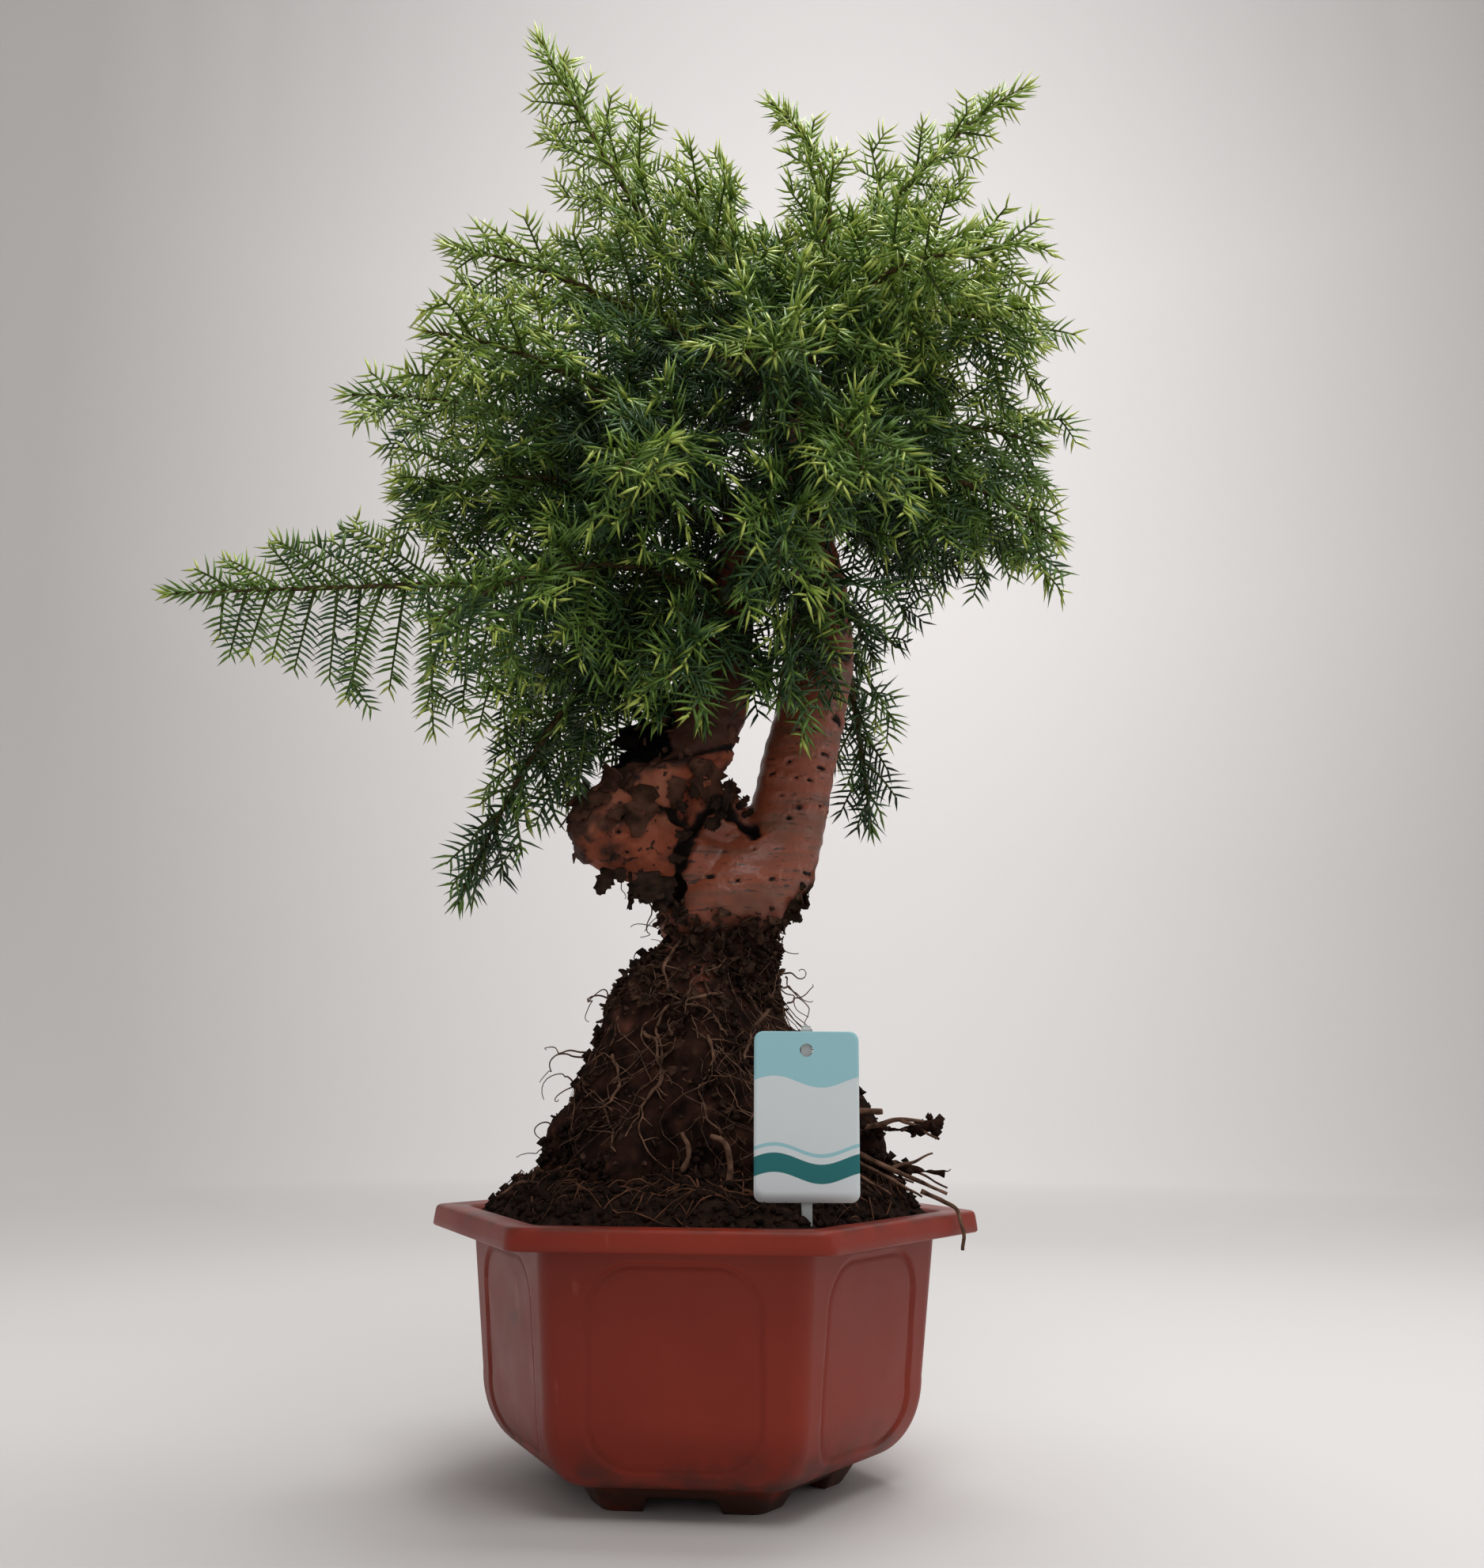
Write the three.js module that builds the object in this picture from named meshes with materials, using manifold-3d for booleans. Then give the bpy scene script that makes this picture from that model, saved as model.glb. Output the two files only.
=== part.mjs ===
// A hoop pine bonsai in a hexagonal plastic pot: a forked, twisted trunk on a bulging root base, with
// arching boughs that end in masses of short, sharp needles.
// Millimetres, +Z up. The plant is laid out about the pot's axis and seen from -Y. It is then moved so
// that the origin lies on the ground under the middle of the plant's outline.

import * as THREE from "three";
import { mergeVertices } from "three/addons/utils/BufferGeometryUtils.js";
import Module from "manifold-3d";

const wasm = await Module();
wasm.setup();

// Driving dimensions

const CLEARANCE = 0.3; // between neighbouring solids

// The pot is a hexagon. Its radii run from the axis to a corner.
const POT = {
  sides: 6,
  turn: THREE.MathUtils.degToRad(-6.7),
  height: 128.5,
  rimRadius: 140,
  rimInnerRadius: 122,
  rimSkirt: 10,
  wall: 3,
  bodyTopRadius: 120,
  shoulderRadius: 112,
  shoulderHeight: 50,
  baseRadius: 84,
  baseHeight: 13,
  floorHeight: 9,
  footTopRadius: 80,
  footRadius: 72,
  footInnerRadius: 62,
  cornerHalfWidth: 4, // degrees
};
const FOOT_NOTCH = { width: 34, height: 7 };
const DRAIN_HOLE = { radius: 6, count: 3, ring: 34 };
const PANEL = { width: 82, low: 46, high: 112, cornerRadius: 16, depth: 1 };

const SOIL = { edgeDrop: 3, shoulderRadius: 109, shoulderHeight: 134, plateauRadius: 97, plateauHeight: 141 };

// The trunk's axis, from the soil up, as height, sideways place, depth and radius. It bulges at the
// roots, narrows at the neck, swings right at the fork and leans back as it enters the crown.
const TRUNK_RINGS = [
  { height: 132, x: 4, y: 0, radius: 84 },
  { height: 152, x: 4, y: 0, radius: 81 },
  { height: 187, x: -1, y: 0, radius: 71 },
  { height: 226, x: 0.5, y: 0, radius: 49 },
  { height: 257, x: 11, y: 0, radius: 31 },
  { height: 274, x: 9, y: 0, radius: 32 },
  { height: 290, x: 20, y: 0, radius: 31 },
  { height: 308, x: 35, y: 0, radius: 25 },
  { height: 330, x: 44, y: 0, radius: 21 },
  { height: 364, x: 51, y: 0, radius: 20 },
  { height: 392, x: 58, y: 1, radius: 18.5 },
  { height: 421, x: 64, y: 4, radius: 17 },
  { height: 457, x: 65, y: 10, radius: 14.5 },
  { height: 488, x: 61, y: 15, radius: 12.5 },
  { height: 528, x: 52, y: 19, radius: 10.5 },
  { height: 585, x: 48, y: 20, radius: 7.5 },
  { height: 640, x: 42, y: 20, radius: 4.5 },
];
const ROOT_BASE = { depthShare: 0.74, lobes: 5, lobeDepth: 0.1, topHeight: 265 };

// Woody roots that leave the root base above the soil: bearing, reach and the heights of both ends.
const SURFACE_ROOTS = [
  { bearing: 189, from: 58, reach: 82, top: 196, tip: 142, radius: 15 },
  { bearing: 235, from: 46, reach: 74, top: 188, tip: 142, radius: 13 },
  { bearing: 305, from: 46, reach: 74, top: 192, tip: 142, radius: 13 },
  { bearing: 344, from: 62, reach: 120, top: 164, tip: 172, radius: 4.5 },
  { bearing: 350, from: 62, reach: 122, top: 156, tip: 146, radius: 4.5 },
  { bearing: 70, from: 44, reach: 72, top: 190, tip: 142, radius: 13 },
  { bearing: 125, from: 44, reach: 72, top: 190, tip: 142, radius: 13 },
];

// The second stem leaves the fork to the left, doubles back at a swollen elbow and climbs into the crown.
const ELBOW = { x: -48, y: -14, height: 322, radius: 24 };
const LOWER_ARM_ROOT = { height: 298, x: 10, y: 0, radius: 22 };
const UPPER_ARM_RINGS = [
  { height: ELBOW.height + 6, x: ELBOW.x + 5, y: ELBOW.y, radius: 22 },
  { height: 344, x: -26, y: -13, radius: 22 },
  { height: 362, x: -10, y: -10, radius: 21 },
  { height: 393, x: 3, y: -5, radius: 20 },
  { height: 430, x: 9.5, y: 0, radius: 15.5 },
  { height: 469, x: 13.5, y: 5, radius: 11 },
  { height: 520, x: 15, y: 10, radius: 5 },
];
const FORK_KNOT = { x: 4, y: -2, height: 328, radius: 20 };
const DEAD_STUB = {
  foot: { height: 372, x: -14, y: -8, radius: 11 },
  tip: { height: 366, x: -40, y: -9, radius: 6.5 },
};

// Each bough leaves its stem at a height, on a bearing (degrees, 0 to the right and 270 to the front), and
// reaches outwards and lifts to its tip. It arches up, and swings sideways, by as much as stated at its
// middle. The bare share of it is the bough, and the rest is the axis of its mass of foliage, with side
// shoots up to the stated spread that turn by a stated angle from one to the next and droop. Shoots shorten
// to the tip share at the tip, and those under the axis are longer by the share that hangs.
const TRUNK = "trunk";
const SECOND = "second_stem";
const ALL_ROUND = 137.5;
const TWO_ROWS = 180;
const BOUGHS = [
  { name: "leader_left", stem: TRUNK, height: 590, bearing: 180, reach: 156, lift: 235, arch: -22,
    bare: 0.3, shoots: 6, spread: 92, droop: 0.05, tipShare: 0.2 },
  { name: "leader_middle", stem: TRUNK, height: 622, bearing: 240, reach: 20, lift: 147, swing: 34,
    bare: 0, shoots: 3, spread: 68, droop: 0, tipShare: 0.1 },
  { name: "leader_inner", stem: TRUNK, height: 604, bearing: 196, reach: 66, lift: 116,
    bare: 0, shoots: 5, spread: 76, droop: 0.05 },
  { name: "leader_right", stem: TRUNK, height: 606, bearing: 356, reach: 147, lift: 183, arch: 26,
    bare: 0.25, shoots: 4, spread: 60, droop: 0.05, tipShare: 0.25 },
  { name: "right_upper", stem: TRUNK, height: 598, bearing: 345, reach: 144, lift: 66, arch: 24,
    bare: 0.25, shoots: 5, spread: 80, droop: 0.15 },
  { name: "right_high", stem: TRUNK, height: 574, bearing: 337, reach: 146, lift: 16, arch: 40,
    bare: 0.25, shoots: 5, spread: 82, droop: 0.3 },
  { name: "right_middle", stem: TRUNK, height: 545, bearing: 2, reach: 148, lift: 14, arch: 18,
    bare: 0.25, shoots: 5, spread: 82, droop: 0.3 },
  { name: "right_low", stem: TRUNK, height: 515, bearing: 344, reach: 142, lift: -32, arch: 30,
    bare: 0.25, shoots: 5, spread: 60, droop: 0.4 },
  { name: "right_under", stem: TRUNK, height: 497, bearing: 15, reach: 134, lift: 2, arch: 22,
    bare: 0.22, shoots: 4, spread: 54, droop: 0.4 },
  { name: "right_hanging", stem: TRUNK, height: 470, bearing: 56, reach: 60, lift: -136, arch: 30,
    bare: 0, shoots: 4, spread: 40, droop: 0.4 },
  { name: "front_right", stem: TRUNK, height: 536, bearing: 281, reach: 131, lift: -56, arch: 32,
    bare: 0.25, shoots: 4, spread: 70, droop: 0.35 },
  { name: "front_middle", stem: TRUNK, height: 506, bearing: 259, reach: 122, lift: -72, arch: 30,
    bare: 0, shoots: 4, spread: 68, droop: 0.35 },
  { name: "front_low", stem: TRUNK, height: 466, bearing: 250, reach: 82, lift: -88, arch: 24,
    bare: 0, shoots: 3, spread: 56, droop: 0.35 },
  { name: "front_upper", stem: TRUNK, height: 580, bearing: 263, reach: 136, lift: -40, arch: 22,
    bare: 0.25, shoots: 5, spread: 80, droop: 0.2 },
  { name: "front_high_right", stem: TRUNK, height: 586, bearing: 302, reach: 142, lift: 20, arch: 24,
    bare: 0.25, shoots: 4, spread: 78, droop: 0.2 },
  { name: "back_right", stem: TRUNK, height: 560, bearing: 62, reach: 150, lift: 92, arch: 22,
    bare: 0.25, shoots: 4, spread: 82, droop: 0.25 },
  { name: "back_middle", stem: TRUNK, height: 596, bearing: 100, reach: 156, lift: 96, arch: 18,
    bare: 0.25, shoots: 4, spread: 82, droop: 0.2 },
  { name: "back_low", stem: TRUNK, height: 492, bearing: 108, reach: 140, lift: 10, arch: 30,
    bare: 0.25, shoots: 4, spread: 78, droop: 0.35 },
  { name: "back_left", stem: TRUNK, height: 552, bearing: 146, reach: 186, lift: 48, arch: 26,
    bare: 0.3, shoots: 4, spread: 84, droop: 0.25 },
  { name: "left_upper", stem: TRUNK, height: 576, bearing: 186, reach: 204, lift: 92, arch: 16,
    bare: 0.3, shoots: 6, spread: 84, droop: 0.15, tipShare: 0.3 },
  { name: "left_middle", stem: SECOND, height: 512, bearing: 182, reach: 222, lift: 62, arch: 18,
    bare: 0.25, shoots: 6, spread: 88, droop: 0.2, tipShare: 0.3 },
  { name: "left_low", stem: SECOND, height: 496, bearing: 192, reach: 188, lift: 4, arch: 20,
    bare: 0.22, shoots: 6, spread: 84, droop: 0.3 },
  { name: "left_long", stem: SECOND, height: 468, bearing: 185, reach: 305, lift: -22, arch: 1,
    bare: 0.18, shoots: 8, spread: 110, droop: 0.1, turn: TWO_ROWS, hang: 0.12, tipShare: 0.22 },
  { name: "left_hanging", stem: SECOND, height: 440, bearing: 193, reach: 140, lift: -160, arch: 50,
    bare: 0.25, shoots: 5, spread: 40, droop: 0.4, tipShare: 0.5 },
  { name: "front_left", stem: SECOND, height: 505, bearing: 246, reach: 142, lift: -30, arch: 28,
    bare: 0.22, shoots: 5, spread: 72, droop: 0.3 },
  { name: "left_under", stem: SECOND, height: 452, bearing: 213, reach: 172, lift: -42, arch: 26,
    bare: 0, shoots: 5, spread: 78, droop: 0.35 },
  { name: "front_low_left", stem: SECOND, height: 436, bearing: 250, reach: 84, lift: -52, arch: 20,
    bare: 0, shoots: 3, spread: 58, droop: 0.35 },
  { name: "front_high_left", stem: SECOND, height: 514, bearing: 212, reach: 188, lift: 50, arch: 22,
    bare: 0.25, shoots: 5, spread: 82, droop: 0.2 },
  { name: "back_low_left", stem: SECOND, height: 455, bearing: 140, reach: 160, lift: -26, arch: 30,
    bare: 0.22, shoots: 4, spread: 68, droop: 0.35 },
];
const BOUGH_ROOT_RADIUS = 5.5;
const BOUGH_TIP_RADIUS = 2.6;
const MASS_STEM_RADIUS = 2.6;
const MASS_TIP_RADIUS = 1.5;
const TIP_SPRAY_SHARE = 0.22; // of a mass's axis
const TIP_TUFT = 9; // how far the last needles reach past the axis

// How side shoots stand on their axis, from its foot to its tip.
const SHOOT = {
  first: 0.06,
  last: 0.76,
  footAngle: 66,
  tipAngle: 46,
  tipShare: 0.45,
  jitter: 0.2,
  facingTurn: 77,
};

// A spray is a thin blade with teeth along both edges, each tooth for a bunch of needles.
const SPRAY = { teeth: 3, halfWidth: 17, foot: 0.6, bareFoot: 6, stalk: 1.6, thickness: 1.1, sunk: 0.4 };

// The label: a card on a slim stem that is pushed into the soil and pegs through the card.
const CARD = { width: 48, height: 76, thickness: 0.6, cornerRadius: 4, holeRadius: 3, holeDrop: 8.5 };
const LABEL_STEM = { width: 5, thickness: 1.4, above: 2.5, below: 36, pegRadius: 2 };
const LABEL = { x: 47.5, y: -95, cardBottom: 138 };

// Materials

const finish = (color, roughness) => new THREE.MeshStandardMaterial({ color, roughness, metalness: 0 });
const FINISH = {
  pot: finish(0x9c3b26, 0.42),
  soil: finish(0x2a1d15, 0.95),
  bark: finish(0x7a4a33, 0.6),
  bough: finish(0x5d4a2c, 0.75),
  foliage: finish(0x3f6b2a, 0.55),
  card: finish(0xd5e2e4, 0.4),
  stem: finish(0xb9c0c2, 0.3),
};

// Helpers that join and cut

// A closed three.js geometry as a solid.
function solid(geometry) {
  const bare = geometry.clone();
  bare.deleteAttribute("normal");
  bare.deleteAttribute("uv");
  const merged = mergeVertices(bare, 1e-4);
  return new wasm.Manifold(
    new wasm.Mesh({
      numProp: 3,
      vertProperties: merged.getAttribute("position").array,
      triVerts: new Uint32Array(merged.index.array),
    }),
  );
}

// The largest body of a solid, without scraps that a cut has left and with sealed hollows filled.
function largestBody(made) {
  return made.decompose().reduce((best, body) => (body.volume() > best.volume() ? body : best));
}

// A named mesh of a solid.
function mesh(name, made, material) {
  const { vertProperties, triVerts } = made.getMesh();
  const geometry = new THREE.BufferGeometry();
  geometry.setAttribute("position", new THREE.BufferAttribute(vertProperties, 3));
  geometry.setIndex(new THREE.BufferAttribute(triVerts, 1));
  geometry.computeVertexNormals();
  const piece = new THREE.Mesh(geometry, material);
  piece.name = name;
  return piece;
}

// A seeded number from 0 to 1 for one thing of one mass.
function chance(mass, thing) {
  const wave = Math.sin(mass * 78.233 + thing * 12.9898) * 43758.5453;
  return wave - Math.floor(wave);
}

const radians = THREE.MathUtils.degToRad;
const lerp = THREE.MathUtils.lerp;
const UP = new THREE.Vector3(0, 0, 1);

// The horizontal unit vector on a bearing in degrees.
const heading = (bearing) => new THREE.Vector3(Math.cos(radians(bearing)), Math.sin(radians(bearing)), 0);

// Limbs

// A closed limb: a capped cylinder bent along a curve. radiusAt takes the share of the length and the
// direction out of the axis.
function limb(curve, radiusAt, sides, steps) {
  const geometry = new THREE.CylinderGeometry(1, 1, 1, sides, steps);
  const frames = curve.computeFrenetFrames(steps, false);
  const position = geometry.getAttribute("position");
  const point = new THREE.Vector3();
  const out = new THREE.Vector3();
  for (let i = 0; i < position.count; i++) {
    const step = Math.round((position.getY(i) + 0.5) * steps);
    const onAxis = Math.hypot(position.getX(i), position.getZ(i)) < 0.5;
    curve.getPointAt(step / steps, point);
    if (!onAxis) {
      out.copy(frames.normals[step]).multiplyScalar(position.getX(i));
      out.addScaledVector(frames.binormals[step], -position.getZ(i));
      point.addScaledVector(out, radiusAt(step / steps, out));
    }
    position.setXYZ(i, point.x, point.y, point.z);
  }
  return geometry;
}

// A straight taper from one radius to another.
const taper = (from, to) => (along) => lerp(from, to, along);

// The curve through a list of rings, and the radius at a height on it.
const ringPoint = (ring) => new THREE.Vector3(ring.x, ring.y, ring.height);
const ringCurve = (rings) => new THREE.CatmullRomCurve3(rings.map(ringPoint));

function radiusAtHeight(rings, height) {
  const above = rings.findIndex((ring) => ring.height >= height);
  if (above < 0) return rings.at(-1).radius;
  if (above === 0) return rings[0].radius;
  const low = rings[above - 1];
  const high = rings[above];
  return lerp(low.radius, high.radius, (height - low.height) / (high.height - low.height));
}

// The point of a stem's axis at a height.
function axisAt(rings, height) {
  const above = Math.max(1, rings.findIndex((ring) => ring.height >= height));
  const low = rings[above - 1];
  const high = rings[above];
  const share = (height - low.height) / (high.height - low.height);
  return new THREE.Vector3(lerp(low.x, high.x, share), lerp(low.y, high.y, share), height);
}

// A limb through a list of rings, its radii grown by a margin. flare shapes the radius further.
function ringLimb(rings, grow, sides, steps, flare = () => 1) {
  const curve = ringCurve(rings);
  const radius = (along, out) => {
    const height = curve.getPointAt(along).z;
    return radiusAtHeight(rings, height) * flare(height, out) + grow;
  };
  return solid(limb(curve, radius, sides, steps));
}

// The root base is shallower than it is wide, and lobed where roots run into it.
function rootFlare(height, out) {
  const low = THREE.MathUtils.clamp((ROOT_BASE.topHeight - height) / 120, 0, 1);
  const angle = Math.atan2(out.y, out.x);
  const depth = lerp(1, ROOT_BASE.depthShare, low * Math.abs(Math.sin(angle)));
  return depth * (1 + ROOT_BASE.lobeDepth * low * Math.cos(ROOT_BASE.lobes * angle));
}

// One woody root: it leaves the root base, arches a little and ends on the soil or just above it.
function surfaceRoot(root, grow) {
  const out = heading(root.bearing);
  const foot = TRUNK_RINGS[1];
  const at = (reach, height) => new THREE.Vector3(foot.x, foot.y, height).addScaledVector(out, reach);
  const start = at(root.from - 26, root.top + 14);
  const middle = at((root.from + root.reach) / 2, lerp(root.top, root.tip, 0.35));
  const curve = new THREE.QuadraticBezierCurve3(start, middle, at(root.reach, root.tip));
  return solid(limb(curve, (along) => lerp(root.radius, root.radius * 0.4, along) + grow, 5, 3));
}

// The trunk with its root base and surface roots, cut flat on top of the soil.
function trunkSolid(grow) {
  const stem = ringLimb(TRUNK_RINGS, grow, 14, 18, rootFlare);
  const whole = SURFACE_ROOTS.reduce((made, root) => made.add(surfaceRoot(root, grow)), stem);
  const depth = 100;
  const soilBlock = new THREE.BoxGeometry(400, 400, depth);
  soilBlock.translate(0, 0, SOIL.plateauHeight + CLEARANCE - grow - depth / 2);
  return largestBody(whole.subtract(solid(soilBlock)));
}

// The second stem: a lower arm, a swollen elbow, a knot in the fork, an upper arm and a broken dead stub.
function secondStemSolid(grow) {
  const lowerArm = limb(
    new THREE.LineCurve3(ringPoint(LOWER_ARM_ROOT), ringPoint(ELBOW)),
    taper(LOWER_ARM_ROOT.radius + grow, ELBOW.radius + grow),
    10,
    1,
  );
  const elbow = new THREE.SphereGeometry(ELBOW.radius + grow, 10, 7);
  elbow.translate(ELBOW.x, ELBOW.y, ELBOW.height);
  const knot = new THREE.SphereGeometry(FORK_KNOT.radius + grow, 8, 6);
  knot.translate(FORK_KNOT.x, FORK_KNOT.y, FORK_KNOT.height);
  const stub = limb(
    new THREE.LineCurve3(ringPoint(DEAD_STUB.foot), ringPoint(DEAD_STUB.tip)),
    taper(DEAD_STUB.foot.radius + grow, DEAD_STUB.tip.radius + grow),
    7,
    2,
  );
  const upperArm = ringLimb(UPPER_ARM_RINGS, grow, 10, 9);
  return wasm.Manifold.union([upperArm, ...[lowerArm, elbow, knot, stub].map(solid)]);
}

// Boughs and foliage

const STEM_RINGS = { [TRUNK]: TRUNK_RINGS, [SECOND]: UPPER_ARM_RINGS };

// The curve of a bough and of its foliage, from the stem's axis to the tip.
function boughCurve(bough) {
  const foot = axisAt(STEM_RINGS[bough.stem], bough.height);
  const out = heading(bough.bearing);
  const tip = foot.clone().addScaledVector(out, bough.reach).addScaledVector(UP, bough.lift);
  const sideways = new THREE.Vector3().crossVectors(out, UP);
  const middle = foot.clone().lerp(tip, 0.5);
  middle.addScaledVector(UP, 2 * (bough.arch ?? 0)).addScaledVector(sideways, -2 * (bough.swing ?? 0));
  return new THREE.QuadraticBezierCurve3(foot, middle, tip);
}

// The stretch of a curve between two shares of its length.
function stretch(curve, from, to) {
  const points = [0, 0.25, 0.5, 0.75, 1].map((share) => curve.getPointAt(lerp(from, to, share)));
  return new THREE.CatmullRomCurve3(points);
}

// The side shoots of a mass: where each leaves the axis, which way it points and how long it is.
function sideShoots(bough, index, axis) {
  const shoots = [];
  for (let k = 0; k < bough.shoots; k++) {
    const share = (k + 0.5) / bough.shoots;
    const along = lerp(SHOOT.first, SHOOT.last, share);
    const tangent = axis.getTangentAt(along);
    const level = new THREE.Vector3().crossVectors(tangent, UP).normalize();
    const above = new THREE.Vector3().crossVectors(level, tangent);
    const roll = radians(90 + k * (bough.turn ?? ALL_ROUND) + 40 * (chance(index, k) - 0.5));
    const lean = radians(lerp(SHOOT.footAngle, SHOOT.tipAngle, share));
    const direction = tangent.clone().multiplyScalar(Math.cos(lean));
    direction.addScaledVector(level, Math.sin(lean) * Math.cos(roll));
    direction.addScaledVector(above, Math.sin(lean) * Math.sin(roll));
    const luck = 1 + SHOOT.jitter * (chance(index, k + 50) - 0.5);
    const hang = 1 - (bough.hang ?? 0) * Math.sin(roll);
    const length = bough.spread * lerp(1, bough.tipShare ?? SHOOT.tipShare, share) * luck * hang;
    const facingRoll = radians(k * SHOOT.facingTurn);
    const facing = above.multiplyScalar(Math.cos(facingRoll)).addScaledVector(level, Math.sin(facingRoll));
    shoots.push({ foot: axis.getPointAt(along), direction, length, facing, droop: bough.droop });
  }
  return shoots;
}

// The outline of a spray along +X from its foot: teeth that lean forwards and shorten towards the tip.
function sprayOutline(length, grow) {
  const edge = [new THREE.Vector2(-SPRAY.sunk, SPRAY.foot + grow)];
  const pitch = (length - SPRAY.bareFoot) / SPRAY.teeth;
  for (let tooth = 0; tooth < SPRAY.teeth; tooth++) {
    const share = tooth / SPRAY.teeth;
    const valley = SPRAY.bareFoot + tooth * pitch;
    edge.push(new THREE.Vector2(valley, lerp(SPRAY.stalk, SPRAY.foot, share) + grow));
    edge.push(new THREE.Vector2(valley + 0.85 * pitch, SPRAY.halfWidth * (1 - 0.5 * share) + grow));
  }
  const tip = new THREE.Vector2(length + grow, 0);
  const otherEdge = edge.map((point) => new THREE.Vector2(point.x, -point.y));
  return new THREE.Shape([...otherEdge, tip, ...edge.reverse()]);
}

// A spray on its shoot: the toothed blade, drooping, with its foot sunk in the axis.
function spray(shoot, grow) {
  const thickness = SPRAY.thickness + 2 * grow;
  const outline = sprayOutline(shoot.length, grow);
  const blade = new THREE.ExtrudeGeometry(outline, { depth: thickness, bevelEnabled: false });
  blade.translate(0, 0, -thickness / 2);
  const across = new THREE.Vector3().crossVectors(shoot.facing, shoot.direction).normalize();
  const normal = new THREE.Vector3().crossVectors(shoot.direction, across);
  blade.applyMatrix4(new THREE.Matrix4().makeBasis(shoot.direction, across, normal).setPosition(shoot.foot));
  const position = blade.getAttribute("position");
  const point = new THREE.Vector3();
  for (let i = 0; i < position.count; i++) {
    point.fromBufferAttribute(position, i);
    const along = Math.max(0, point.clone().sub(shoot.foot).dot(shoot.direction)) / shoot.length;
    position.setZ(i, point.z - shoot.droop * shoot.length * along * along);
  }
  return solid(blade);
}

// The pieces among others whose boxes meet the box of a solid.
function nearOnes(made, others) {
  const box = boxOf(made);
  return others.filter((other) => boxOf(other).intersectsBox(box));
}

function boxOf(made) {
  const { min, max } = made.boundingBox();
  return new THREE.Box3(new THREE.Vector3(...min), new THREE.Vector3(...max));
}

// True where a solid is clear of every one of the others.
const clearOf = (made, others) => nearOnes(made, others).every((other) => made.intersect(other).isEmpty());

// A solid without the room that the others take.
function cutClear(made, others) {
  const near = nearOnes(made, others);
  return near.length === 0 ? made : largestBody(made.subtract(wasm.Manifold.union(near)));
}

// One mass of foliage: its axis, the side sprays that keep clear of all other pieces, and a tip spray.
function massSolid(bough, index, curve, from, others) {
  const axis = stretch(curve, from, 1);
  const stemEnd = 1 - TIP_SPRAY_SHARE;
  const stemCurve = stretch(axis, 0, stemEnd);
  const stem = cutClear(solid(limb(stemCurve, taper(MASS_STEM_RADIUS, MASS_TIP_RADIUS), 3, 3)), others);
  const tipFoot = axis.getPointAt(stemEnd);
  const tipDirection = axis.getPointAt(1).sub(tipFoot);
  const tipShoot = {
    foot: tipFoot,
    direction: tipDirection.clone().normalize(),
    length: tipDirection.length() + TIP_TUFT,
    facing: new THREE.Vector3().crossVectors(tipDirection, UP).normalize(),
    droop: 0,
  };
  const sprays = [...sideShoots(bough, index, axis), tipShoot]
    .filter((shoot) => clearOf(spray(shoot, CLEARANCE), others))
    .map((shoot) => spray(shoot, 0));
  return largestBody(wasm.Manifold.union([stem, ...sprays]));
}

// The pot and the soil

// A solid of hexagonal plan from a profile of corner radii and heights, its corners cut off a little.
function hexagonLathe(profile) {
  const perCorner = 2;
  const segments = POT.sides * perCorner;
  const points = profile.map(([radius, height]) => new THREE.Vector2(radius, height));
  const geometry = new THREE.LatheGeometry(points, segments);
  geometry.rotateX(Math.PI / 2);
  geometry.rotateZ(Math.PI / 2);
  const position = geometry.getAttribute("position");
  const halfWidth = radians(POT.cornerHalfWidth);
  const onSide = Math.cos(Math.PI / POT.sides) / Math.cos(Math.PI / POT.sides - halfWidth);
  for (let i = 0; i < position.count; i++) {
    const radius = Math.hypot(position.getX(i), position.getY(i));
    if (radius < 1e-6) continue;
    const step = Math.round((Math.atan2(position.getY(i), position.getX(i)) / (2 * Math.PI)) * segments);
    const corner = Math.floor(step / perCorner);
    const side = step === corner * perCorner ? -1 : 1;
    const angle = (corner * 2 * Math.PI) / POT.sides + side * halfWidth + POT.turn;
    position.setXY(i, radius * onSide * Math.cos(angle), radius * onSide * Math.sin(angle));
  }
  return solid(geometry);
}

// The outer wall's profile from the foot of the body to its shoulder: a quarter of an ellipse.
function underCurve(inset) {
  const points = [];
  const steps = 4;
  for (let k = 0; k <= steps; k++) {
    const angle = (k / steps) * (Math.PI / 2);
    const radius = lerp(POT.baseRadius, POT.shoulderRadius, Math.sin(angle)) - inset;
    const height = lerp(POT.shoulderHeight, POT.baseHeight + inset, Math.cos(angle));
    points.push([radius, height]);
  }
  return points;
}

// The rounded rectangle of a panel or a card, standing on its lower edge's middle.
function roundedRectangle(width, height, radius) {
  const half = width / 2;
  const shape = new THREE.Shape();
  shape.moveTo(-half + radius, 0);
  shape.lineTo(half - radius, 0);
  shape.absarc(half - radius, radius, radius, -Math.PI / 2, 0);
  shape.lineTo(half, height - radius);
  shape.absarc(half - radius, height - radius, radius, 0, Math.PI / 2);
  shape.lineTo(-half + radius, height);
  shape.absarc(-half + radius, height - radius, radius, Math.PI / 2, Math.PI);
  shape.lineTo(-half, radius);
  shape.absarc(-half + radius, radius, radius, Math.PI, 1.5 * Math.PI);
  return shape;
}

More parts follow.
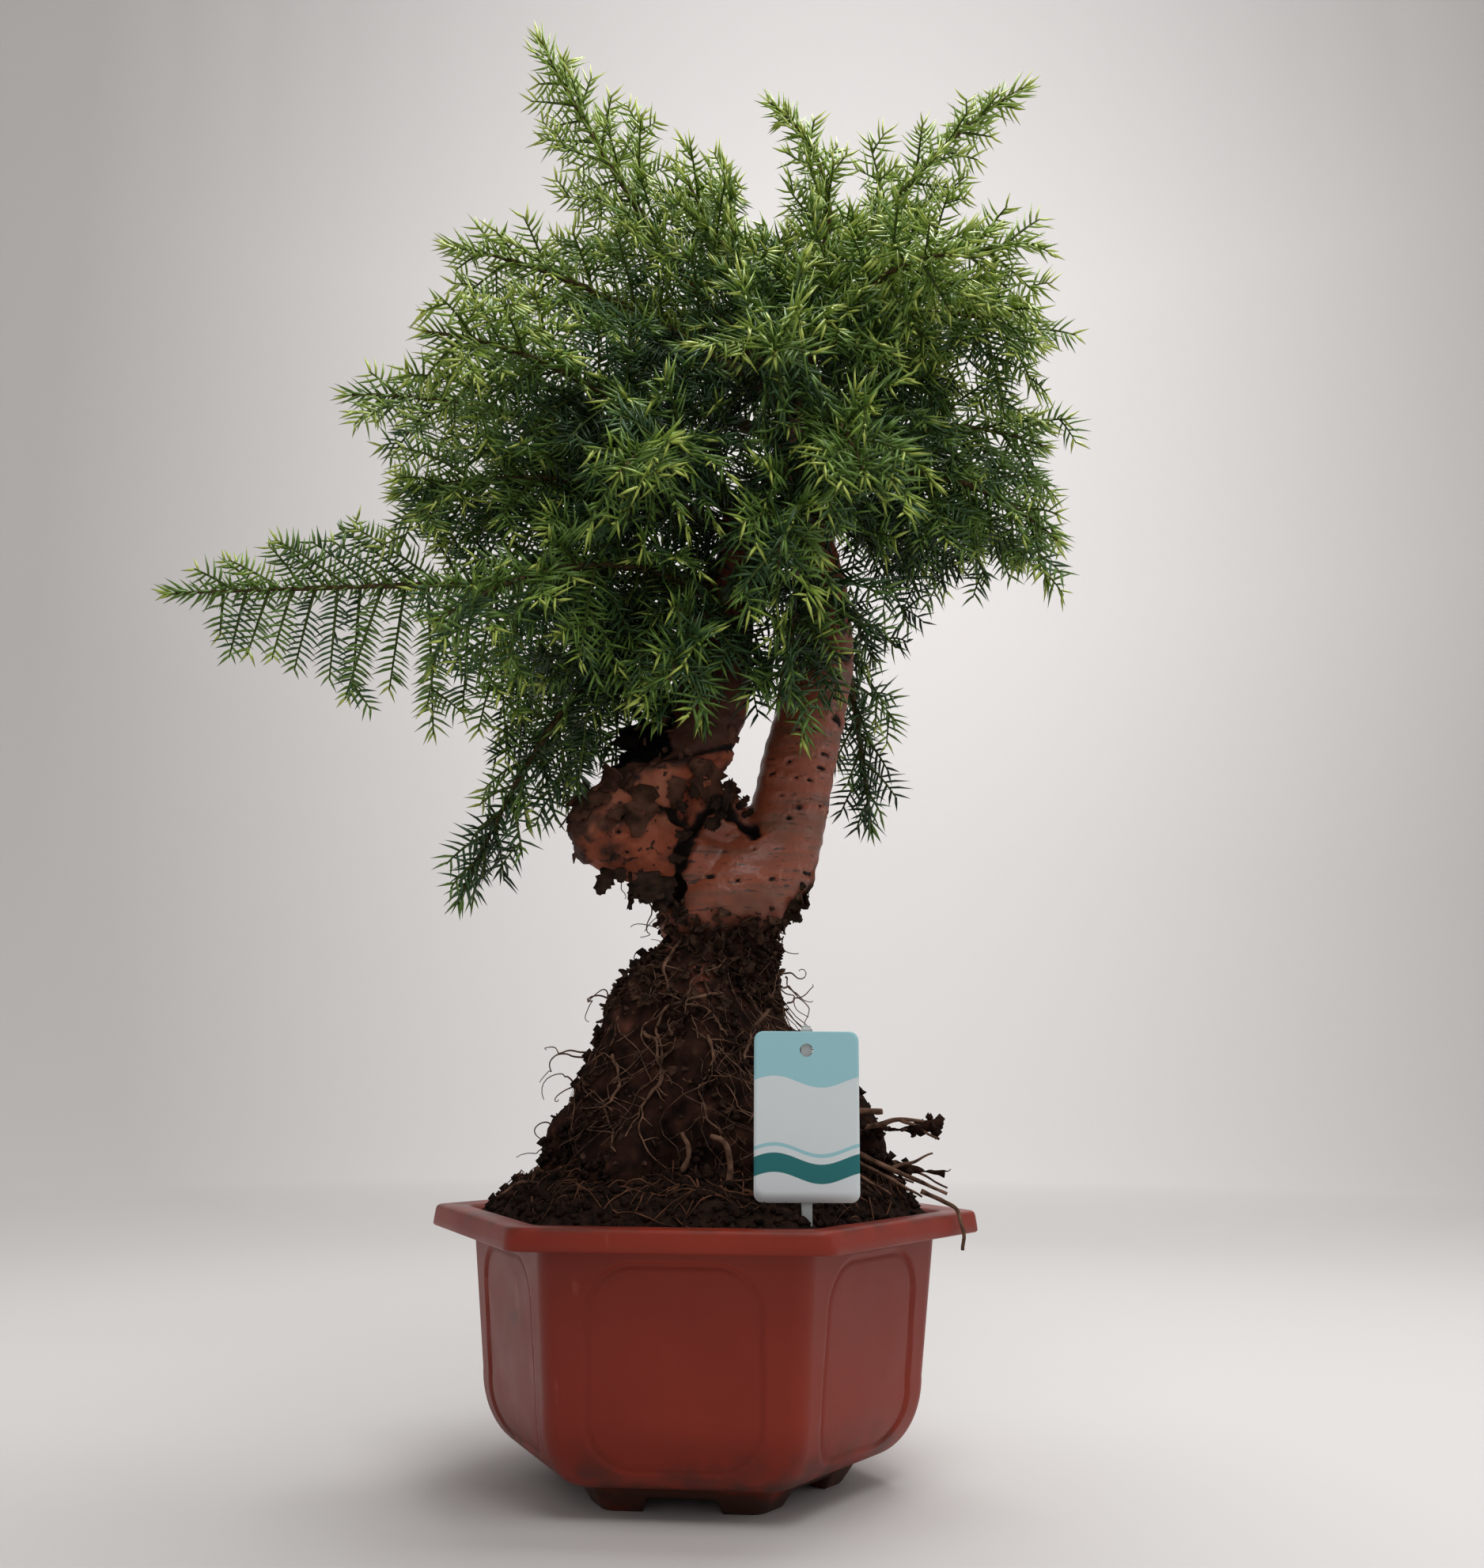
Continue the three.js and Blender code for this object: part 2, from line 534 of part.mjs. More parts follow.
// The shallow panel that is pressed into one side of the pot.
function panelCut(side) {
  const apothem = Math.cos(Math.PI / POT.sides);
  const lowFace = POT.shoulderRadius * apothem;
  const highFace = POT.bodyTopRadius * apothem;
  const rise = POT.height - POT.wall - POT.shoulderHeight;
  const draft = Math.atan2(highFace - lowFace, rise);
  const outline = roundedRectangle(PANEL.width, PANEL.high - PANEL.low, PANEL.cornerRadius);
  const proud = 8;
  const depth = PANEL.depth + proud;
  const cut = new THREE.ExtrudeGeometry(outline, { depth, bevelEnabled: false, curveSegments: 2 });
  cut.translate(0, PANEL.low - POT.shoulderHeight, -PANEL.depth);
  cut.rotateX(Math.PI / 2 - draft + 2 * draft);
  cut.rotateZ(Math.PI / 2);
  cut.translate(lowFace, 0, POT.shoulderHeight);
  cut.rotateZ(POT.turn + ((side + 0.5) * 2 * Math.PI) / POT.sides);
  return solid(cut);
}

// The pot: a tub with a turned-down rim, pressed panels, a notched foot ring and drain holes.
function potSolid() {
  const skirtLow = POT.height - POT.rimSkirt;
  const underRim = POT.height - POT.wall;
  const innerCurve = underCurve(POT.wall).reverse();
  let pot = hexagonLathe([
    [0, POT.floorHeight],
    [POT.footInnerRadius, POT.floorHeight],
    [POT.footInnerRadius, 0],
    [POT.footRadius, 0],
    [POT.footTopRadius, POT.baseHeight],
    ...underCurve(0),
    [POT.bodyTopRadius, underRim],
    [POT.rimRadius - POT.wall, underRim],
    [POT.rimRadius - POT.wall + 1, skirtLow],
    [POT.rimRadius + 1, skirtLow],
    [POT.rimRadius, POT.height - 1.5],
    [POT.rimRadius - 1.5, POT.height],
    [POT.rimInnerRadius, POT.height],
    [POT.bodyTopRadius - POT.wall, underRim - POT.wall],
    ...innerCurve,
    [0, POT.baseHeight + POT.wall],
  ]);
  for (let side = 0; side < POT.sides; side++) pot = pot.subtract(panelCut(side));
  for (let side = 0; side < POT.sides / 2; side++) {
    const notch = new THREE.BoxGeometry(FOOT_NOTCH.width, 4 * POT.footRadius, 2 * FOOT_NOTCH.height);
    notch.rotateZ(POT.turn + (side * 2 * Math.PI) / POT.sides);
    pot = pot.subtract(solid(notch));
  }
  for (let hole = 0; hole < DRAIN_HOLE.count; hole++) {
    const drain = new THREE.CylinderGeometry(DRAIN_HOLE.radius, DRAIN_HOLE.radius, 4 * POT.baseHeight, 8);
    drain.rotateX(Math.PI / 2);
    drain.translate(DRAIN_HOLE.ring, 0, POT.baseHeight);
    drain.rotateZ(POT.turn + (hole * 2 * Math.PI) / DRAIN_HOLE.count);
    pot = pot.subtract(solid(drain));
  }
  return pot;
}

// The soil: it fills the tub and rises in a mound to the plateau that the root base stands on.
function soilSolid() {
  const gap = POT.wall + CLEARANCE;
  return hexagonLathe([
    [0, POT.baseHeight + gap],
    ...underCurve(gap),
    [POT.bodyTopRadius - gap, POT.height - SOIL.edgeDrop],
    [SOIL.shoulderRadius, SOIL.shoulderHeight],
    [SOIL.plateauRadius, SOIL.plateauHeight],
    [0, SOIL.plateauHeight],
  ]);
}

// The label

// The card, with its hanging hole, upright and facing the front.
function cardSolid() {
  const outline = roundedRectangle(CARD.width, CARD.height, CARD.cornerRadius);
  const hole = new THREE.Path();
  hole.absarc(0, CARD.height - CARD.holeDrop, CARD.holeRadius, 0, 2 * Math.PI);
  outline.holes.push(hole);
  const depth = CARD.thickness;
  const card = new THREE.ExtrudeGeometry(outline, { depth, bevelEnabled: false, curveSegments: 3 });
  card.rotateX(Math.PI / 2);
  card.translate(LABEL.x, LABEL.y, LABEL.cardBottom);
  return solid(card);
}

// The stem behind the card, with the peg that goes through the card's hole.
function labelStemSolid(grow) {
  const height = LABEL_STEM.above + CARD.height + LABEL_STEM.below;
  const back = LABEL.y + CLEARANCE + LABEL_STEM.thickness / 2;
  const sizes = [LABEL_STEM.width, LABEL_STEM.thickness, height].map((size) => size + 2 * grow);
  const strip = new THREE.BoxGeometry(...sizes);
  strip.translate(LABEL.x, back, LABEL.cardBottom - LABEL_STEM.below + height / 2);
  const peg = new THREE.CylinderGeometry(LABEL_STEM.pegRadius, LABEL_STEM.pegRadius, 4 * CARD.thickness, 10);
  peg.translate(LABEL.x, LABEL.y, LABEL.cardBottom + CARD.height - CARD.holeDrop);
  return solid(strip).add(solid(peg));
}

// Assembly

const trunk = trunkSolid(0);
const trunkRoom = trunkSolid(CLEARANCE);
const secondStem = largestBody(secondStemSolid(0).subtract(trunkRoom));
const secondStemRoom = secondStemSolid(CLEARANCE);

const plant = new THREE.Group();
plant.add(mesh("pot", potSolid(), FINISH.pot));
plant.add(mesh("soil", soilSolid().subtract(labelStemSolid(CLEARANCE)), FINISH.soil));
plant.add(mesh("trunk", trunk, FINISH.bark));
plant.add(mesh("second_stem", secondStem, FINISH.bark));

// Boughs first, so that every mass can keep clear of all of them.
const rooms = [trunkRoom, secondStemRoom];
const curves = BOUGHS.map(boughCurve);
BOUGHS.forEach((bough, index) => {
  if (bough.bare === 0) return;
  const bareCurve = stretch(curves[index], 0, bough.bare);
  const radii = (grow) => taper(BOUGH_ROOT_RADIUS + grow, BOUGH_TIP_RADIUS + grow);
  const bareLimb = (grow) => solid(limb(bareCurve, radii(grow), 4, 2));
  plant.add(mesh("bough_" + bough.name, cutClear(bareLimb(0), rooms), FINISH.bough));
  rooms.push(bareLimb(CLEARANCE));
});

BOUGHS.forEach((bough, index) => {
  const gapShare = (CLEARANCE + 0.05) / curves[index].getLength();
  const made = massSolid(bough, index, curves[index], bough.bare + gapShare, rooms);
  plant.add(mesh("foliage_" + bough.name, made, FINISH.foliage));
  rooms.push(made);
});

plant.add(mesh("label_card", cardSolid(), FINISH.card));
plant.add(mesh("label_stem", labelStemSolid(0), FINISH.stem));

const outline = new THREE.Box3().setFromObject(plant);
const middle = outline.getCenter(new THREE.Vector3());
plant.position.set(-middle.x, -middle.y, 0);

const root = new THREE.Group();
root.add(plant);

export default root;
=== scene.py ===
"""A hoop pine bonsai in a hexagonal pot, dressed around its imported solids.

Bark, twigs, needles, roots, peat, the moulded pot and a blank plant label replace the plain solids. A floor,
soft lights and a camera complete the scene. Sizes in the classes are millimetres about the pot's axis, with
the floor at height 0 and the viewer on the -Y side. Layout turns them into the frame's metres.
"""

from __future__ import annotations

import logging
import math
from collections.abc import Sequence
from dataclasses import dataclass, field
from enum import Enum

import bpy
import numpy as np
from mathutils import Matrix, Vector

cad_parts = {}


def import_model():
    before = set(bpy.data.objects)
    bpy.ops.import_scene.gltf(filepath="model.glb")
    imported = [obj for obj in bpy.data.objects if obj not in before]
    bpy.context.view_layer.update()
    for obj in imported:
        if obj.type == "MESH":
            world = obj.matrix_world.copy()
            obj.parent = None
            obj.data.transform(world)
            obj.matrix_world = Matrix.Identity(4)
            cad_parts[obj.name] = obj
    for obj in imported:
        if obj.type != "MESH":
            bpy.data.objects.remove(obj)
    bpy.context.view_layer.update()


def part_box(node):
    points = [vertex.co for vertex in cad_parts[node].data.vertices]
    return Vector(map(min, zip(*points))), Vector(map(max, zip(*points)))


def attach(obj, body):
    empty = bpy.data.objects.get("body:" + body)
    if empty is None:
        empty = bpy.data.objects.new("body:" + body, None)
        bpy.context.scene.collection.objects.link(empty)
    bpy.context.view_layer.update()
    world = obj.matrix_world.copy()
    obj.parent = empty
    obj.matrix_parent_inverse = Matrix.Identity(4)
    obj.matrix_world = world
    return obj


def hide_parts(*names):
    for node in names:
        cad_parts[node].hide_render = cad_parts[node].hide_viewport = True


LOG = logging.getLogger("bonsai")
BODY = "root"
UP = np.array([0.0, 0.0, 1.0])
FULL_TURN = 2 * math.pi
GOLDEN_TURN = 2.39996
APOTHEM_SHARE = math.cos(math.pi / 6)

Array = np.ndarray
Colour = tuple[float, float, float]
Point = tuple[float, float, float]
Pair = tuple[float, float]
Rows = tuple[tuple[float, ...], ...]
Material = bpy.types.Material
Socket = bpy.types.NodeSocket


class Slot(Enum):
    """Names of the material slots."""

    POT = "pot"
    SOIL = "soil"
    BARK = "bark"
    BOUGH = "bough_bark"
    FOLIAGE = "foliage"
    CARD = "label_card"
    STEM = "label_stem"


class Stem(Enum):
    """The two stems that boughs grow from."""

    TRUNK = "trunk"
    SECOND = "second_stem"


# Numbers and shapes


def unit(vectors: Array) -> Array:
    """Vectors scaled to length 1 along the last axis."""
    return vectors / np.maximum(np.linalg.norm(vectors, axis=-1, keepdims=True), 1e-9)


def square_to(axis: Array, vectors: Array) -> Array:
    """Unit vectors square to an axis: each less its share along the axis."""
    return unit(vectors - axis * np.sum(vectors * axis, -1, keepdims=True))


def ease(low: float, high: float, value: Array) -> Array:
    """A smooth step: 0 under low, 1 over high, 3t^2 - 2t^3 between."""
    t = np.clip((value - low) / (high - low), 0.0, 1.0)
    return t * t * (3.0 - 2.0 * t)


def mix(low: Array | float, high: Array | float, share: Array | float) -> Array | float:
    """The value a share of the way from low to high."""
    return low + (high - low) * share


def chance(mass: Array | float, thing: Array | float) -> Array:
    """A seeded number from 0 to 1, the part source's own rule: the fraction of a large sine."""
    wave = np.sin(np.asarray(mass) * 78.233 + np.asarray(thing) * 12.9898) * 43758.5453
    return wave - np.floor(wave)


def turns(count: int) -> Array:
    """Even angles round a whole turn."""
    return np.arange(count) * (FULL_TURN / count)


def spokes(side: Array, over: Array, angle: Array) -> Array:
    """Directions at angles in a plane: cos(a) * side + sin(a) * over, with the angles as a new grid axis."""
    return side[..., None, :] * np.cos(angle)[:, None] + over[..., None, :] * np.sin(angle)[:, None]


def lattice_noise(points: Array, seed: int) -> Array:
    """Value noise from -1 to 1: hashed lattice values, blended in each cell by smooth steps.

    Args:
        points: Places, one row each, in cells.
        seed: Picks the field.

    Returns:
        One value for each row.
    """
    cell = np.floor(points).astype(np.int64)
    share = points - cell
    share = share * share * (3.0 - 2.0 * share)
    total = np.zeros(len(points))
    for corner in range(8):
        step = np.array([corner & 1, corner >> 1 & 1, corner >> 2 & 1])
        at = cell + step
        key = at[:, 0] * 73856093 ^ at[:, 1] * 19349663 ^ at[:, 2] * 83492791 ^ seed * 40503
        key = (key ^ key >> 13) * 1274126177
        value = ((key ^ key >> 16) & 0xFFFF) / 32767.5 - 1.0
        weight = np.prod(np.where(step == 1, share, 1.0 - share), axis=1)
        total += weight * value
    return total


def fractal(points: Array, size: float, octaves: int, seed: int) -> Array:
    """Noise of several octaves, about -1 to 1: each is half as large and half as strong as the one before."""
    grids = (points / size * 2.0**octave + 17.3 * octave for octave in range(octaves))
    return sum(lattice_noise(grid, seed + octave) * 0.5**octave for octave, grid in enumerate(grids))


def drift(points: Array, size: float, seed: int) -> Array:
    """Noise vectors at a grid of points: one lattice field for each of x, y and z."""
    flat = points.reshape(-1, 3) / size
    return np.stack([lattice_noise(flat, seed + k) for k in range(3)], -1).reshape(points.shape)


@dataclass(frozen=True)
class Layout:
    """Turns millimetres about the pot's axis into the frame's metres, where the axis has its place."""

    axis: Pair

    @classmethod
    def from_frame(cls) -> Layout:
        """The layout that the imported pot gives: its axis is the middle of its box."""
        low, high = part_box("pot")
        return cls(((low[0] + high[0]) / 2, (low[1] + high[1]) / 2))

    def world(self, points: Array) -> Array:
        """Points in the frame's metres."""
        return np.asarray(points, float) * 0.001 + np.array([*self.axis, 0.0])


@dataclass
class Shape:
    """Vertices in millimetres, one array of polygons for each corner count, and marks that a finish can read."""

    vertices: Array
    polygons: list[Array]
    marks: dict[str, Array] = field(default_factory=dict)

    @staticmethod
    def join(shapes: Sequence[Shape]) -> Shape:
        """Joins shapes by moving their vertex numbers on.

        Args:
            shapes: Shapes with the same marks.

        Returns:
            All of them as one.
        """
        starts = np.cumsum([0] + [len(shape.vertices) for shape in shapes])
        polygons = [faces + start for shape, start in zip(shapes, starts) for faces in shape.polygons]
        marks = {name: np.concatenate([shape.marks[name] for shape in shapes]) for name in shapes[0].marks}
        return Shape(np.concatenate([shape.vertices for shape in shapes]), polygons, marks)

    def thing(self, name: str, layout: Layout, finish: Material | None, smooth: bool = True) -> bpy.types.Object:
        """Puts the shape into the scene, with its marks as attributes.

        Args:
            name: The object's name.
            layout: Gives the metres.
            finish: Its material, if it is to be seen.
            smooth: Whether faces are shaded smooth.

        Returns:
            The object.
        """
        counts = np.concatenate([np.full(len(faces), faces.shape[1]) for faces in self.polygons])
        corners = np.concatenate([faces.ravel() for faces in self.polygons])
        made = bpy.data.meshes.new(name)
        made.vertices.add(len(self.vertices))
        made.vertices.foreach_set("co", layout.world(self.vertices).astype(np.float32).ravel())
        made.loops.add(len(corners))
        made.loops.foreach_set("vertex_index", corners.astype(np.int32))
        made.polygons.add(len(counts))
        made.polygons.foreach_set("loop_start", (np.cumsum(counts) - counts).astype(np.int32))
        made.update(calc_edges=True)
        made.validate()
        for mark, values in self.marks.items():
            attribute = made.attributes.new(mark, "FLOAT", "POINT")
            attribute.data.foreach_set("value", values.astype(np.float32))
        if finish:
            made.materials.append(finish)
        if smooth:
            made.shade_smooth()
        thing = bpy.data.objects.new(name, made)
        bpy.context.collection.objects.link(thing)
        return thing

    def piece(
        self, name: str, layout: Layout, finish: Material, slot: Slot, nodes: Sequence[str] = (), smooth: bool = True
    ) -> None:
        """Makes the shape a piece that rides on the plant's body.

        Args:
            name: The piece's name.
            layout: Gives the metres.
            finish: Its material.
            slot: Not used.
            nodes: The solids that it replaces.
            smooth: Whether faces are shaded smooth.
        """
        thing = self.thing(name, layout, finish, smooth)
        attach(thing, BODY)
        if nodes:
            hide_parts(*nodes)
        LOG.info("%s: %d vertices", name, len(self.vertices))


def ring_quads(index: Array) -> Array:
    """Quads between neighbouring rings of vertex numbers, with places round a ring on the last axis."""
    low, high = index[..., :-1, :], index[..., 1:, :]
    return np.stack([low, np.roll(low, -1, -1), np.roll(high, -1, -1), high], axis=-1).reshape(-1, 4)


def wrapped_grid(rows: Array, closed_ends: bool = True) -> Shape:
    """A surface from closed rings: quads between neighbouring rings, and a fan to the middle of each end ring.

    Args:
        rows: Ring points, as rings by places by 3.
        closed_ends: Whether both ends get a fan.

    Returns:
        The surface. It faces outwards where places run counter-clockwise seen from the last ring.
    """
    count, around = rows.shape[:2]
    index = np.arange(count * around).reshape(count, around)
    vertices, quads = rows.reshape(-1, 3), ring_quads(index)
    if not closed_ends:
        return Shape(vertices, [quads])
    poles = np.stack([rows[0].mean(0), rows[-1].mean(0)])
    first = np.stack([np.full(around, count * around), np.roll(index[0], -1), index[0]], axis=-1)
    last = np.stack([np.full(around, count * around + 1), index[-1], np.roll(index[-1], -1)], axis=-1)
    return Shape(np.concatenate([vertices, poles]), [quads, np.concatenate([first, last])])


def closed_grids(rings: Array) -> Shape:
    """Many closed surfaces of rings: quads between neighbouring rings and a flat polygon on each end ring."""
    index = np.arange(math.prod(rings.shape[:3])).reshape(rings.shape[:3])
    return Shape(rings.reshape(-1, 3), [ring_quads(index), np.concatenate([index[:, 0, ::-1], index[:, -1]])])


def tubes(paths: Array, radii: Array, around: int) -> Shape:
    """Closed tubes along many paths: ring point = path + radius (cos a * side + sin a * over).

    Args:
        paths: Path points, as tubes by rings by 3.
        radii: Radii, as tubes by rings.
        around: Corners of a ring.

    Returns:
        All tubes as one shape, with flat ends.
    """
    tangent = unit(np.gradient(paths, axis=1))
    whole = unit(paths[:, -1] - paths[:, 0])
    reference = np.eye(3)[np.abs(whole).argmin(axis=1)][:, None, :]
    side = unit(np.cross(tangent, np.broadcast_to(reference, tangent.shape)))
    ring = spokes(side, np.cross(tangent, side), turns(around))
    return closed_grids(paths[:, :, None] + radii[:, :, None, None] * ring)


def spline(points: Array, count: int) -> Array:
    """Points along a Catmull-Rom curve through the given rows.

    Args:
        points: Rows to pass, which may carry more than three columns.
        count: How many points to give.

    Returns:
        The points, evenly spaced by row number.
    """
    padded = np.concatenate([2 * points[:1] - points[1:2], points, 2 * points[-1:] - points[-2:-1]])
    place = np.linspace(0, len(points) - 1, count)
    index = np.minimum(place.astype(int), len(points) - 2)
    t = (place - index)[:, None]
    a, b, c, d = (padded[index + k] for k in range(4))
    return 0.5 * (2 * b + (c - a) * t + (2 * a - 5 * b + 4 * c - d) * t**2 + (3 * b - a - 3 * c + d) * t**3)


def resampled(points: Array, count: int, start: float = 0.0, end: float = 1.0) -> Array:
    """Points evenly spaced by length along a polyline, from one share of its length to another."""
    length = np.concatenate([[0.0], np.cumsum(np.linalg.norm(np.diff(points, axis=0), axis=1))])
    return np.stack([np.interp(np.linspace(start, end, count) * length[-1], length, row) for row in points.T], -1)


# Finishes


class Recipe:
    """Builds the node tree of one procedural material around its Principled shader."""

    def __init__(self, name: str, roughness: float, specular: float = 0.28) -> None:
        """Starts a material.

        Args:
            name: The material's name.
            roughness: Set on the shader.
            specular: Strength of reflection, set on the shader.
        """
        self.material = bpy.data.materials.new(name)
        self.material.use_nodes = True
        self.tree = self.material.node_tree
        self.shader = next(n for n in self.tree.nodes if n.type == "BSDF_PRINCIPLED")
        self.shader.inputs["Roughness"].default_value = roughness
        self.shader.inputs["Specular IOR Level"].default_value = specular
        self.place = self.tree.nodes.new("ShaderNodeTexCoord").outputs["Object"]

    def feed(self, socket: Socket, value: object) -> None:
        """Links a socket, or sets it to a plain value.

        Args:
            socket: The input to feed.
            value: Another node's output, or a number or colour.
        """
        if isinstance(value, Socket):
            self.tree.links.new(value, socket)
        else:
            socket.default_value = value

    def add(self, kind: str, output: str | int, inputs: dict[str | int, object], **settings: object) -> Socket:
        """Adds a node.

        Args:
            kind: The node's type.
            output: The output to give, by name or number.
            inputs: What feeds its inputs, by name or number.
            **settings: The node's own settings, by name.

        Returns:
            The output.
        """
        node = self.tree.nodes.new(kind)
        for name, value in settings.items():
            setattr(node, name, value)
        for name, value in inputs.items():
            self.feed(node.inputs[name], value)
        return node.outputs[output]

    def stretched(self, scale: Point) -> Socket:
        """Object coordinates scaled by different amounts along X, Y and Z."""
        return self.add("ShaderNodeMapping", "Vector", {"Vector": self.place, "Scale": scale})

    def noise(self, scale: float, detail: float = 4.0, vector: Socket | None = None) -> Socket:
        """A noise field, by default on object coordinates, with scale in cells a metre."""
        where = self.place if vector is None else vector
        return self.add("ShaderNodeTexNoise", "Fac", {"Vector": where, "Scale": scale, "Detail": detail})

    def mark(self, name: str) -> Socket:
        """A number that the mesh carries for each vertex."""
        return self.add("ShaderNodeAttribute", "Fac", {}, attribute_name=name)

    def ramp(self, value: Socket, *stops: tuple[float, Colour]) -> Socket:
        """A colour ramp over a number.

        Args:
            value: The number.
            *stops: Places on the ramp with their colours.

        Returns:
            The colour's output.
        """
        output = self.add("ShaderNodeValToRGB", "Color", {"Fac": value})
        ramp = output.node.color_ramp
        while len(ramp.elements) < len(stops):
            ramp.elements.new(0.5)
        for element, (place, colour) in zip(ramp.elements, stops):
            element.position = place
            element.color = (*colour, 1.0)
        return output

    def steps(self, value: Socket, low: float, high: float) -> Socket:
        """A smooth step over a number, 0 at low and 1 at high."""
        ends = {"Value": value, "From Min": low, "From Max": high}
        return self.add("ShaderNodeMapRange", "Result", ends, interpolation_type="SMOOTHSTEP")

    def maths(self, how: str, first: Socket, second: Socket | float) -> Socket:
        """The result of a named operation on two numbers."""
        return self.add("ShaderNodeMath", "Value", {0: first, 1: second}, operation=how)

    def times(self, first: Socket, second: Socket | float) -> Socket:
        """The product of two numbers."""
        return self.maths("MULTIPLY", first, second)

    def blend(self, share: Socket, first: Socket | Colour, second: Socket | Colour) -> Socket:
        """A colour between two, the first where the share is 0 and the second where it is 1."""
        ends = [(*end, 1.0) if isinstance(end, tuple) else end for end in (first, second)]
        return self.add("ShaderNodeMix", 2, {"Factor": share, 6: ends[0], 7: ends[1]}, data_type="RGBA")

    def plain(self, name: str, colour: Colour) -> None:
        """Sets one of the shader's colours, the same all over."""
        self.shader.inputs[name].default_value = (*colour, 1.0)

    def colour(self, value: Socket) -> None:
        """Links the shader's base colour."""
        self.feed(self.shader.inputs["Base Color"], value)

    def vary(self, name: str, value: Socket, low: float, high: float) -> None:
        """Lets one of the shader's numbers run from low to high by a field."""
        span = {"Value": value, "To Min": low, "To Max": high}
        self.feed(self.shader.inputs[name], self.add("ShaderNodeMapRange", "Result", span))

    def bump(self, height: Socket, distance: float, strength: float = 1.0) -> None:
        """Adds fine relief to the shader's normal. Distance is in metres."""
        relief = {"Height": height, "Strength": strength, "Distance": distance}
        self.feed(self.shader.inputs["Normal"], self.add("ShaderNodeBump", "Normal", relief))


@dataclass(frozen=True)
class BarkFinish:
    """Copper-brown bark with hoops and dark marks, crusted with soil at the roots and peeling at the elbow,
    with painted shade in its folds and over the upper arm.
    """

    copper: Colour = (0.218, 0.052, 0.024)
    pale: Colour = (0.295, 0.112, 0.066)
    dark: Colour = (0.050, 0.018, 0.011)
    crust: Colour = (0.008, 0.005, 0.004)
    olive: Colour = (0.098, 0.046, 0.025)
    brown: Colour = (0.150, 0.048, 0.026)
    char: Colour = (0.0025, 0.002, 0.002)
    earth: Colour = (0.030, 0.013, 0.009)

    def material(self) -> Material:
        """Smooth, bare, flaked, soiled and burnt bark with painted shade, steered by the marks of roots, peeling,
        plates, scars and char.

        Returns:
            The material. The scars' mark below 0 is a pale rim, and above 0 a dark floor or a fold's painted shade.
            The char mark at a half is painted shade on the upper arm, partly a browner bark.
        """
        made = Recipe("bark", 0.5)
        root, peel, plate, scar, char = (made.mark(name) for name in ("root", "peel", "plate", "scar", "char"))
        hoops = made.noise(60.0, 5.0, made.stretched((0.30, 0.30, 3.0)))
        bands = ((0.26, self.dark), (0.38, self.brown), (0.50, self.copper), (0.68, self.copper), (0.84, self.pale))
        smooth = made.ramp(hoops, *bands)
        dashes = made.steps(made.noise(230.0, 2.0, made.stretched((0.5, 0.5, 2.2))), 0.62, 0.68)
        smooth = made.blend(dashes, smooth, self.dark)
        blotch = made.steps(made.noise(26.0, 5.0, made.stretched((1.0, 1.0, 2.2))), 0.46, 0.66)
        smooth = made.blend(made.times(blotch, 0.55), smooth, self.olive)
        specks = made.steps(made.noise(190.0, 3.0), 0.60, 0.66)
        bare = made.ramp(made.noise(45.0, 6.0), (0.30, self.dark), (0.46, self.copper), (0.72, self.pale))
        bare = made.blend(made.times(specks, 0.9), bare, self.crust)
        flakes = made.ramp(made.noise(120.0, 6.0), (0.34, self.crust), (0.5, self.dark), (0.74, self.olive))
        colour = made.blend(peel, smooth, made.blend(plate, bare, flakes))
        rim = made.times(made.steps(scar, -0.25, -0.9), made.steps(made.noise(300.0), 0.40, 0.75))
        colour = made.blend(rim, colour, self.pale)
        colour = made.blend(made.steps(scar, 0.15, 0.65), colour, self.crust)
        soil = made.ramp(made.noise(120.0, 8.0), (0.36, self.crust), (0.62, self.earth), (0.86, self.olive))
        colour = made.blend(root, colour, soil)
        # Painted shade: where the char mark is a half, on the upper arm, this darkens the bark as shade would; where
        # it is whole, it is the burnt stub.
        char_and_shade_level = made.maths("ADD", char, made.times(hoops, 0.5))
        colour = made.blend(made.times(made.steps(char_and_shade_level, 0.42, 0.75), 0.85), colour, self.dark)
        made.colour(made.blend(made.steps(char_and_shade_level, 0.95, 1.15), colour, self.char))
        dull = made.maths("MAXIMUM", root, made.times(peel, 0.6))
        dull = made.maths("MAXIMUM", dull, made.maths("MAXIMUM", char, scar))
        made.vary("Roughness", dull, 0.36, 0.95)
        made.vary("Specular IOR Level", dull, 0.42, 0.03)
        made.bump(made.noise(420.0, 5.0), 0.0006, 0.6)
        return made.material


@dataclass(frozen=True)
class WoodFinish:
    """A rough bark of two browns, for boughs, roots, flakes and fibres."""

    name: str
    dark: Colour
    light: Colour
    grain: float = 140.0
    roughness: float = 0.8
    specular: float = 0.07

    def material(self) -> Material:
        """Two colours by noise, with fine relief from finer noise.

        Returns:
            The material.
        """
        made = Recipe(self.name, self.roughness, self.specular)
        made.colour(made.ramp(made.noise(self.grain, 6.0), (0.32, self.dark), (0.68, self.light)))
        made.bump(made.noise(self.grain * 3.0, 4.0), 0.0005, 0.6)
        return made.material


@dataclass(frozen=True)
class NeedleFinish:
    """One plain green of needles, with a waxy gloss."""

    name: str
    green: Colour
    roughness: float = 0.36
    specular: float = 0.42

    def material(self) -> Material:
        """The green and the gloss on the shader's own sockets.

        Returns:
            The material.
        """
        made = Recipe(self.name, self.roughness, self.specular)
        made.plain("Base Color", self.green)
        return made.material


